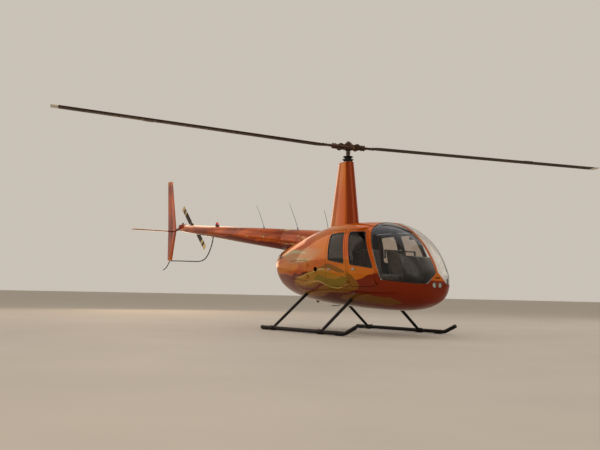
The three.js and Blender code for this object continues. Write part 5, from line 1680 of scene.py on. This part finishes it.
tail_hub_parts = [turned(
    "tail_shaft_end", (TAIL_X, 0.1785, TAIL_Z), (TAIL_X, TAIL_Y + 0.046, TAIL_Z),
    [(0, 0.022), (0.55, 0.022), (0.56, 0.034), (0.62, 0.034), (0.63, 0.022), (0.9, 0.022), (0.92, 0.016),
     (1, 0.014)])]
yoke = box_between(
    "tail_yoke", (TAIL_AXIS.x - 0.028, TAIL_Y - 0.022, TAIL_Z - 0.120),
    (TAIL_AXIS.x + 0.028, TAIL_Y + 0.022, TAIL_Z + 0.120))
soften(yoke, 0.010, 3)
tail_hub_parts.append(yoke)
for side in (-1, 1):
    tail_hub_parts.append(rod(
        "tail_hinge_bolt", (TAIL_X - 0.036, TAIL_Y, TAIL_Z + side * 0.085),
        (TAIL_X + 0.036, TAIL_Y, TAIL_Z + side * 0.085), 0.011, sides=16))
tail_hub = about_tail(joined("tail_hub_yoke", tail_hub_parts), -TAIL_TILT)
dress(tail_hub, bronze, "tail_rotor", "bronze_metal", "tail_rotor_hub")


# Rotor shaft and swashplates: a steel shaft in a black lower ring, held by three control rods, and an upper
# ring that turns with the rotor and drives the two pitch links.
HUB_Z = 3.205
ROTOR_TURN = math.radians(69.5)
SWASH_BORE = 0.042
RING_SIDES = 64


def about_mast(piece):
    """Turns a piece made along the body to where the rotor stands in the photograph."""
    middle = Vector((MAST, 0, 0))
    piece.data.transform(
        Matrix.Translation(middle) @ Matrix.Rotation(ROTOR_TURN, 4, "Z") @ Matrix.Translation(-middle))
    return piece


def revolved(name, profile):
    """A ring round the mast, from a closed outline of (radius, height) points."""
    turns = np.linspace(0, 2 * np.pi, RING_SIDES + 1)
    radius, height = np.array([*profile, profile[0]]).T
    rings = [
        np.column_stack([radius * math.cos(turn) + MAST, radius * math.sin(turn), height])
        for turn in turns]
    made = wrapped_grid(name, np.array(rings))
    tidy_mesh(made, 0.00005)
    smooth_below(30)
    return made


def bolt(name, start, end, radius, head=1.55):
    """A bolt with a hexagon head at its start and a nut and its own end at the other."""
    start, end = Vector(start), Vector(end)
    way = (end - start).normalized()
    parts = [
        rod(name, start, end, radius, sides=16),
        rod("bolt_head", start, start + way * radius * 0.9, radius * head, sides=6),
        rod("nut", end - way * radius * 1.9, end - way * radius * 0.7, radius * head, sides=6),
        rod("washer", end - way * radius * 2.15, end - way * radius * 1.9, radius * head * 1.15, sides=24)]
    return joined(name, parts)


shaft = turned(
    "rotor_shaft_steel", (0, 0, 2.9405), (0, 0, 3.1405),
    [(0, 0.036), (0.74, 0.036), (0.76, 0.0395), (0.86, 0.0395), (0.88, 0.036), (1, 0.036)], 48)
dress(about_mast(shaft), stained_steel, "main_rotor", "bare_steel", "rotor_shaft")
lower = [revolved("lower_swashplate_ring", [
    (SWASH_BORE, 2.966), (0.083, 2.966), (0.090, 2.969), (0.090, 2.983), (0.083, 2.986), (0.070, 2.986),
    (0.066, 2.990), (0.066, 3.004), (0.064, 3.006), (SWASH_BORE, 3.006)])]
for degrees in (20, 140, 260):
    turn = math.radians(degrees)
    x, y = 0.070 * math.cos(turn), 0.070 * math.sin(turn)
    lower.append(rod("control_rod", (x, y, 2.9405), (x, y, 2.972), 0.0075, sides=14))
    lower.append(ball("rod_end", (x, y, 2.966), 0.012, segments=18, rings=12))
    lower.append(rod("ring_lug", (x * 1.42, y * 1.42, 2.970), (x * 1.42, y * 1.42, 2.990), 0.0085, sides=12))
dress(joined("lower_swashplate", lower), black_paint, "airframe", "black_metal", "swashplate_lower")
upper = [revolved("upper_swashplate_ring", [
    (SWASH_BORE, 3.0063), (0.062, 3.0063), (0.062, 3.018), (0.066, 3.022), (0.080, 3.022), (0.087, 3.025),
    (0.087, 3.039), (0.080, 3.042), (0.052, 3.042), (0.048, 3.047), (SWASH_BORE, 3.047)])]
PITCH_Y = 0.122
for way in (1, -1):
    x, y = way * 0.040, way * PITCH_Y
    upper.append(rod("link_arm", (x, way * 0.080, 3.032), (x, y, 3.032), 0.0095, sides=16))
    upper.append(ball("lower_rod_end", (x, y, 3.032), 0.0135, segments=20, rings=12))
    upper.append(rod("pitch_link", (x, y, 3.030), (x, y, 3.172), 0.0070, sides=18))
    upper.append(turned(
        "link_sleeve", (x, y, 3.052), (x, y, 3.148),
        [(0, 0.0072), (0.06, 0.0095), (0.94, 0.0095), (1, 0.0072)], 18))
    for z in (3.049, 3.151):
        upper.append(rod("lock_nut", (x, y, z - 0.003), (x, y, z + 0.003), 0.0115, sides=6))
dress(
    about_mast(joined("upper_swashplate_with_links", upper)), black_paint, "main_rotor", "black_metal",
    "swashplate_upper_with_links")


# Hub: a forged yoke, bronze and brown from its finish, that tilts on a broad teeter bolt. Each end is a
# fork whose bolt carries a blade's root.
PIN_X = 0.150
block = box_between("hub_block", (MAST - 0.096, -0.060, HUB_Z - 0.040), (MAST + 0.096, 0.060, HUB_Z + 0.040))
hub_parts = [soften(block, 0.012, 4)]
for way in (1, -1):
    for y in (-0.048, 0.048):
        ear = [
            rod("ear", (way * PIN_X, y - 0.014, HUB_Z), (way * PIN_X, y + 0.014, HUB_Z), 0.058, sides=40),
            box_between("ear_plate", (MAST + min(way * 0.070, way * PIN_X), y - 0.014, HUB_Z - 0.041),
                (MAST + max(way * 0.070, way * PIN_X), y + 0.014, HUB_Z + 0.041))]
        for part in ear:
            hub_parts.append(soften(part, 0.004, 3, 50))
    hub_parts.append(bolt(
        "coning_bolt", (way * PIN_X, -0.082, HUB_Z), (way * PIN_X, 0.082, HUB_Z), 0.021, 1.42))
hub_parts.append(turned(
    "hub_sleeve", (0, 0, HUB_Z - 0.064), (0, 0, HUB_Z + 0.100),
    [(0, 0.048), (0.03, 0.052), (0.14, 0.052), (0.16, 0.060), (0.72, 0.056), (0.74, 0.046), (0.86, 0.044),
     (0.88, 0.030), (0.97, 0.028), (1, 0.024)], 48))
for y, outward in ((-0.062, -1), (0.062, 1)):
    hub_parts.append(turned(
        "teeter_bearing", (0, y - outward * 0.006, HUB_Z + 0.040), (0, outward * 0.084, HUB_Z + 0.040),
        [(0, 0.040), (0.45, 0.040), (0.50, 0.034), (0.62, 0.034), (0.64, 0.026), (0.95, 0.026), (1, 0.020)],
        40))
hub_parts.append(soften(
    box_between("teeter_block", (MAST - 0.044, -0.058, HUB_Z + 0.020),
        (MAST + 0.044, 0.058, HUB_Z + 0.078)), 0.010, 4))
for x in (-0.062, 0.062):
    for y in (-0.036, 0.036):
        hub_parts.append(rod("hub_nut", (x, y, HUB_Z + 0.038), (x, y, HUB_Z + 0.052), 0.0125, sides=6))
        hub_parts.append(rod("hub_nut", (x, y, HUB_Z - 0.038), (x, y, HUB_Z - 0.052), 0.0125, sides=6))
dress(about_mast(joined("hub_yoke", hub_parts)), bronze, "main_rotor", "bronze_metal", "rotor_hub")


# Main blades: bonded metal skins on a steel leading edge, dark brown, with a root fitting, a pitch horn, a
# trim tab and a pale tip. The far one lies nearly level and the near one is raised.
ROTOR_RADIUS = 5.030
BLADE_CHORD, BLADE_THICKNESS, BLADE_POINTS = 0.257, 0.031, 18
BLADE_ANGLES = {"a": (0.0, math.radians(-0.92)), "b": (math.pi, math.radians(3.9))}


def blade_section(x, chord, thick):
    outline = aerofoil(chord, thick, BLADE_POINTS)
    outline[:, 0] += chord * 0.25
    return np.column_stack([np.full(len(outline), x + MAST), outline])


def blade_finish(name):
    """Brown paint with a pale tip and gloss that varies in patches."""
    made = new_material(name)
    place = put(made, "ShaderNodeTexCoord").outputs["Object"]
    reach = put(made, "ShaderNodeVectorMath", operation="DISTANCE")
    reach.inputs[1].default_value = (MAST, 0, HUB_Z)
    wire(made, place, reach.inputs[0])
    out = reach.outputs["Value"]
    # the blade's reflections are tinted warm: painted warm highlights
    surface = shader(made, Metallic=0.1, Specular_IOR_Level=0.2, Specular_Tint=(1, 0.75, 0.55, 1))
    tone = noise_value(made, place, 2.2, 4)
    base = tones(made, tone, 0.35, 0.65, (0.026, 0.013, 0.008, 1), (0.048, 0.026, 0.016, 1))
    tip = edge_between(made, out, ROTOR_RADIUS - 0.125, ROTOR_RADIUS - 0.119)
    base = blend_colours(made, tip, base, (0.66, 0.63, 0.56, 1))
    wire(made, base, surface.inputs["Base Color"])
    wear = noise_value(made, place, 22, 4)
    wire(made, edge_between(made, wear, -0.9, 1.7), surface.inputs["Roughness"])
    return made


def blade_pieces(name):
    """The skin of one blade and its root fittings, lying along the body with its leading edge to the left."""
    share = [
        (0.285, 0.45), (0.340, 0.52), (0.420, 0.76), (0.480, 0.92), (0.545, 1.0), (1.5, 1.0), (3.0, 1.0),
        (ROTOR_RADIUS - 0.030, 1.0), (ROTOR_RADIUS - 0.012, 0.985), (ROTOR_RADIUS, 0.93)]
    rings = [
        blade_section(x, BLADE_CHORD * s, BLADE_THICKNESS * (s if s > 0.95 or x < 1 else s * 0.9))
        for x, s in share]
    skin = lofted(f"rotor_blade_{name}_skin", rings, 40)
    tab = box_between("trim_tab", (MAST + 3.380, -0.212, -0.0013), (MAST + 3.560, -0.180, 0.0013))
    cap = soften(
        box_between("tip_weight_cover", (MAST + ROTOR_RADIUS - 0.090, -0.030, 0.008),
            (MAST + ROTOR_RADIUS - 0.040, 0.020, 0.0165)), 0.003, 2)
    skin = joined(skin.name, [skin, tab, cap])
    root = [
        soften(rod("root_eye", (PIN_X, -0.0335, 0), (PIN_X, 0.0335, 0), 0.050, sides=40), 0.005, 3, 50),
        turned("bearing_housing", (PIN_X + 0.020, 0, 0), (0.300, 0, 0),
            [(0, 0.028), (0.30, 0.029), (0.305, 0.041), (0.36, 0.038), (0.41, 0.043), (0.46, 0.039),
             (0.505, 0.050), (0.60, 0.051), (0.61, 0.046), (0.88, 0.046), (0.89, 0.0505), (0.97, 0.0505),
             (1, 0.046)], 48),
        soften(box_between("root_plate", (MAST + 0.282, -0.046, -0.0145), (MAST + 0.500, 0.046, 0.0145)),
            0.005, 3),
        tube("horn_arm",
            [(0.276, 0.025, 0), (0.262, 0.070, -0.006), (0.236, 0.116, -0.012), (0.190, 0.122, -0.012),
             (0.046, 0.122, -0.012)], 0.0115),
        ball("horn_end", (0.040, PITCH_Y, -0.012), 0.0155, segments=20, rings=14),
        rod("horn_bolt", (0.040, PITCH_Y - 0.022, -0.012), (0.040, PITCH_Y + 0.022, -0.012), 0.0055,
            sides=12)]
    for x, y in ((0.335, 0.022), (0.335, -0.022), (0.405, 0.0), (0.465, 0.024), (0.465, -0.024)):
        root.append(rod("root_bolt", (x, y, -0.0225), (x, y, 0.0225), 0.0070, sides=6))
        root.append(rod("root_washer", (x, y, -0.0185), (x, y, 0.0185), 0.0105, sides=20))
    return skin, joined(f"rotor_blade_{name}_root", root)


brown_blade = blade_finish("rotor_blade_paint")
for name, (way, cone) in BLADE_ANGLES.items():
    skin, root = blade_pieces(name)
    for piece, finish, slot, nodes in (
            (skin, brown_blade, "blade_paint", [f"rotor_blade_{name}"]),
            (root, bronze, "bronze_metal", [])):
        pin, middle = Vector((MAST + PIN_X, 0, 0)), Vector((MAST, 0, 0))
        piece.data.transform(
            Matrix.Translation((0, 0, HUB_Z)) @ Matrix.Translation(middle) @ Matrix.Rotation(way, 4, "Z")
            @ Matrix.Translation(-middle) @ Matrix.Translation(pin) @ Matrix.Rotation(-cone, 4, "Y")
            @ Matrix.Translation(-pin))
        dress(about_mast(piece), finish, "main_rotor", slot, *nodes)


# Landing gear: two steel skid tubes with wear shoes and turned-up toes, on four legs in streamlined covers
# that meet the tubes in clamped saddles and pass into the belly through rubber seals.
SKID_Y, SKID_RADIUS, SHOE_THICK = 1.090, 0.032, 0.006
SKID_Z = SKID_RADIUS + SHOE_THICK
LEG_SLOPE = 0.82
LEG_POINTS = 40
LEG_STATIONS = {"rear": -0.630, "front": 0.690}
belly = solid_body("belly", -0.0005)
belly_skin = cut(solid_body("belly_skin", -0.008), solid_body("belly_inside", -0.0004))


def leg_rings(foot, top, sizes):
    """Streamlined rings across the line of a leg, from (share of the way, chord, thickness)."""
    flat = Vector((1, 0, 0))
    thick_way = (top - foot).normalized().cross(flat)
    turns = np.linspace(0, 2 * np.pi, LEG_POINTS + 1)
    rings = []
    for share, chord, thick in sizes:
        middle = foot.lerp(top, share)
        around = [middle + flat * (0.5 * chord * (math.cos(turn) + 0.10 * math.sin(turn) ** 2))
                  + thick_way * (0.5 * thick * math.sin(turn)) for turn in turns]
        rings.append(np.array(around) + (MAST, 0, 0))
    return rings


def saddle_ring(name, x, y, rear, front, radius, bore, bore_sides, drop):
    """A ring over the skid tube from rear to front of station x, open at the bottom."""
    ring = rod(name, (x + rear, y, SKID_Z), (x + front, y, SKID_Z), radius, sides=40)
    cut(ring, rod("tube_space", (x - 0.1, y, SKID_Z), (x + 0.1, y, SKID_Z), bore, sides=bore_sides))
    under = box_between("under", (MAST + x - 0.2, y - 0.1, -0.05), (MAST + x + 0.2, y + 0.1, SKID_Z - drop))
    return cut(ring, under)


for sign, side in SIDES:
    y = sign * SKID_Y
    skid_tube = tube(
        "skid_tube", [(-0.952, y, SKID_Z), (-0.300, y, SKID_Z), (0.500, y, SKID_Z), (1.180, y, SKID_Z),
         (1.290, y, SKID_Z + 0.006), (1.400, y, SKID_Z + 0.050), (1.532, y, 0.146)], SKID_RADIUS - 0.0002)
    heel = turned(
        "heel_plug", (-0.951, y, SKID_Z), (-0.9605, y, SKID_Z), [(0, 0.0315), (0.5, 0.028), (1, 0.016)], 32)
    toe = turned(
        "toe_plug", (1.531, y, 0.1455), (1.5365, y, 0.1492), [(0, 0.0315), (0.6, 0.028), (1, 0.014)], 32)
    parts = [skid_tube, heel, toe]
    for x in (-0.850, -0.630, 0.690, 1.140):
        shoe = box_between(
            "wear_shoe", (MAST + x - 0.074, y - 0.0205, 0.0003), (MAST + x + 0.074, y + 0.0205, 0.0125))
        soften(shoe, 0.004, 2)
        parts.append(shoe)
        for off in (-0.052, 0.052):
            parts.append(turned(
                "shoe_rivet", (x + off, y, 0.068), (x + off, y, 0.0735),
                [(0, 0.0070), (0.4, 0.0070), (1, 0.0035)], 16))
    lug_x = LEG_STATIONS["rear"] + 0.095
    parts.append(turned(
        "handling_lug", (lug_x, y, SKID_Z + 0.028), (lug_x, y, SKID_Z + 0.052),
        [(0, 0.0115), (0.55, 0.0115), (0.6, 0.0130), (0.95, 0.0130), (1, 0.0105)], 24))
    dress(joined(f"skid_tube_{side}", parts), black_paint, "airframe", "black_metal", f"skid_{side}")
    for place, x in LEG_STATIONS.items():
        foot = Vector((x, sign * (SKID_Y - 0.010), SKID_Z + 0.006))
        rise = (abs(foot.y) - 0.380) * LEG_SLOPE
        top = Vector((x, sign * 0.380, foot.z + rise))
        cover = lofted(
            "leg_cover", leg_rings(foot, top, ((0.030, 0.052, 0.034), (0.060, 0.062, 0.040),
                 (0.110, 0.069, 0.043), (0.5, 0.071, 0.0445), (1.06, 0.0749, 0.0478))), 40)
        cut(cover, belly, keep_tool=True)
        parts = [
            cover,
            soften(saddle_ring("saddle", x, y, -0.060, 0.060, 0.0405, SKID_RADIUS + 0.0003, 48, 0.008),
                0.0025, 2)]
        for along in (-0.040, 0.040):
            for out in (-1, 1):
                parts.append(bolt(
                    "saddle_bolt", (x + along, y + out * 0.046, SKID_Z + 0.004),
                    (x + along, y + out * 0.030, SKID_Z + 0.004), 0.0045))
            parts.append(saddle_ring(
                "strap_band", x, y, along - 0.008, along + 0.008, 0.0425, 0.0395, 40, 0.006))
        dress(
            joined(f"leg_{place}_{side}_cover", parts), black_paint, "airframe", "black_metal",
            f"leg_{place}_{side}")
        seal = lofted(f"leg_seal_{place}_{side}", leg_rings(foot, top, (
            (0.60, 0.080, 0.053), (1.06, 0.0884, 0.0614))), 40)
        trim(seal, belly_skin, keep_tool=True)
        dress(seal, rubber, "airframe", "black_trim")
for spare in (belly, belly_skin):
    bpy.data.objects.remove(spare)


# Landing lamps: two sealed lamps side by side in the nose, each a clear lens before a bright reflector,
# on a painted strip.
lamp_glass = window_glass("lamp_lens_glass", (0.93, 0.94, 0.92, 1))
reflector = speckled("lamp_reflector", (0.80, 0.79, 0.76, 1), (0.92, 0.91, 0.88, 1), 25, 0.06, metallic=1.0)
lamp_dark = speckled("lamp_housing", (0.008, 0.008, 0.008, 1), (0.018, 0.017, 0.016, 1), 30, 0.5)
nose_limit = solid_body("nose_limit", 0.0015)
lenses, bowls, rims = [], [], []
for y in (-LAMP_Y, LAMP_Y):
    lens = rod("lens", (2.080, y, LAMP_Z), (2.200, y, LAMP_Z), LAMP_RADIUS - 0.0035, sides=48)
    trim(lens, nose_limit, keep_tool=True)
    front = max(vertex.co.x for vertex in lens.data.vertices) - MAST
    cut(lens, box_between("lens_back", (MAST + 1.9, y - 0.1, 0.6), (MAST + front - 0.030, y + 0.1, 1.0)))
    lenses.append(soften(lens, 0.001, 2, 50))
    # the bowl opens forward behind the lens
    bowl = turned(
        "bowl", (front - 0.075, y, LAMP_Z), (front - 0.032, y, LAMP_Z),
        [(0, 0.008), (0.15, 0.018), (0.4, 0.028), (0.7, 0.035), (1, 0.0385)], 48)
    hollow = turned(
        "bowl_space", (front - 0.070, y, LAMP_Z), (front - 0.030, y, LAMP_Z),
        [(0, 0.006), (0.15, 0.016), (0.4, 0.026), (0.7, 0.033), (1, 0.0372)], 48)
    cut(bowl, hollow)
    bowls.append(bowl)
    bowls.append(ball("bulb", (front - 0.058, y, LAMP_Z), 0.0075, segments=20, rings=12))
    ring_out = rod("lamp_rim", (2.060, y, LAMP_Z), (2.200, y, LAMP_Z), LAMP_RADIUS - 0.0004, sides=56)
    cut(ring_out, rod("rim_space", (2.0, y, LAMP_Z), (2.3, y, LAMP_Z), LAMP_RADIUS - 0.0033, sides=56))
    trim(ring_out, nose_limit, keep_tool=True)
    rims.append(soften(ring_out, 0.0008, 2, 50))
    rims.append(soften(
        box_between("lamp_can", (MAST + 2.046, y - 0.030, LAMP_Z - 0.030),
            (MAST + front - 0.076, y + 0.030, LAMP_Z + 0.030)), 0.010, 3))
rims.append(box_between(
    "lamp_strip", (MAST + 2.052, -LAMP_Y, LAMP_Z - 0.012), (MAST + 2.076, LAMP_Y, LAMP_Z + 0.012)))
for name, parts, finish, slot, nodes in (
        ("landing_lamp_rims", rims, lamp_dark, "black_trim", ["landing_lamps"]),
        ("landing_lamp_bowls", bowls, reflector, "bare_steel", []),
        ("landing_lamp_lenses", lenses, lamp_glass, "lamp_glass", [])):
    dress(joined(name, parts), finish, "airframe", slot, *nodes)

# Fresh-air inlet: a short black moulded duct in the slot above the lamps.
duct = trim(front_prism("nose_air_duct", grown(NOSE_SLOT, -0.0004), 2.060, 2.4), nose_limit)
cut(duct, front_prism("duct_inside", grown(NOSE_SLOT, -0.0028), 2.070, 2.4))
dress(soften(duct, 0.0006, 2), rubber, "airframe", "black_trim")

# Position lamps: a dark teardrop base low on each side with a small round lens at its front.
deep_lens = new_material("position_lamp_lens")
deep_surface = shader(deep_lens, Roughness=0.05, Transmission_Weight=0.6, IOR=1.46, Coat_Weight=0.6)
lens_tone = noise_value(deep_lens, object_axes(deep_lens)[0], 60, 2)
wire(
    deep_lens, tones(deep_lens, lens_tone, 0.3, 0.7, (0.16, 0.020, 0.012, 1), (0.24, 0.030, 0.018, 1)),
    deep_surface.inputs["Base Color"])
for sign, side in SIDES:
    x, z = 0.890, 0.655
    y = float(skin_y(x + MAST, z))
    out = Vector(skin_normals(np.array([[x + MAST, sign * y, z]]))[0])
    base = ball(f"position_lamp_base_{side}", (x - 0.006, sign * y, z), 0.024, (1.55, 0.62, 0.78), 40, 24)
    lens = ball(
        f"position_lamp_lens_{side}", Vector((x + 0.016, sign * y, z)) + out * 0.006, 0.0155, (1.1, 1, 0.9),
        32, 20)
    for piece, finish, slot, nodes in (
            (base, lamp_dark, "black_trim", [f"position_lamp_{side}"]), (lens, deep_lens, "red_lens", [])):
        dress(piece, finish, "airframe", slot, *nodes)


# Boom top: three whip antennas on rubber feet, and the red anti-collision beacon.
def boom_top(x):
    return boom_z(x) + boom_radius(x)


whip_black = speckled("antenna_coating", (0.012, 0.012, 0.012, 1), (0.026, 0.024, 0.022, 1), 35, 0.5)
for name, x, tip in (
        ("rear", -2.560, (-2.840, 2.370)), ("middle", -1.430, (-1.720, 2.340)),
        ("front", -0.510, (-0.640, 2.135))):
    foot = boom_top(x)
    base = turned(
        "antenna_foot", (x, 0, foot - 0.004), (x - 0.013, 0, foot + 0.046),
        [(0, 0.0150), (0.16, 0.0150), (0.22, 0.0120), (0.5, 0.0105), (0.55, 0.0085), (1, 0.0055)], 28)
    start, end = Vector((x - 0.012, 0, foot + 0.044)), Vector((tip[0], 0, tip[1]))
    middle = start.lerp(end, 0.5) + Vector((0.006, 0, 0.004))
    line = smooth_path([start, middle, end], 8)
    parts = [base] + [
        rod("whip", line[i], line[i + 1], 0.0046 - 0.0016 * i / 16, 0.0046 - 0.0016 * (i + 1) / 16, 12)
        for i in range(len(line) - 1)]
    parts.append(ball("whip_tip", tuple(line[-1]), 0.0034, segments=14, rings=8))
    dress(joined(f"antenna_{name}_whip", parts), whip_black, "airframe", "black_trim", f"antenna_{name}")

BEACON_X = -4.370
beacon_top = boom_top(BEACON_X)
base = turned(
    "beacon_base", (BEACON_X, 0, beacon_top - 0.018), (BEACON_X, 0, beacon_top + 0.038),
    [(0, 0.041), (0.6, 0.041), (0.62, 0.044), (0.8, 0.044), (0.82, 0.039), (1, 0.037)], 40)
dress(base, whip_black, "airframe", "black_trim")
dome = turned(
    "beacon_dome", (BEACON_X, 0, beacon_top + 0.0385), (BEACON_X, 0, beacon_top + 0.088),
    [(0, 0.032), (0.1, 0.032), (0.12, 0.030), (0.5, 0.028), (0.75, 0.023), (0.9, 0.015), (1, 0.005)], 40)
beacon_red = window_glass("beacon_red_glass", (0.60, 0.030, 0.012, 1))
dress(dome, beacon_red, "airframe", "red_lens", "beacon")

# Belly drain: a small bent tube that hangs below the firewall.
drain = tube(
    "belly_drain_tube",
    [(-0.020, -0.10, 0.470), (-0.040, -0.10, 0.440), (-0.120, -0.10, 0.432), (-0.250, -0.10, 0.430)], 0.009)
dress(drain, bare_steel, "airframe", "bare_steel")


for spare in (wall, glass_skin, seal_skin):
    bpy.data.objects.remove(spare)
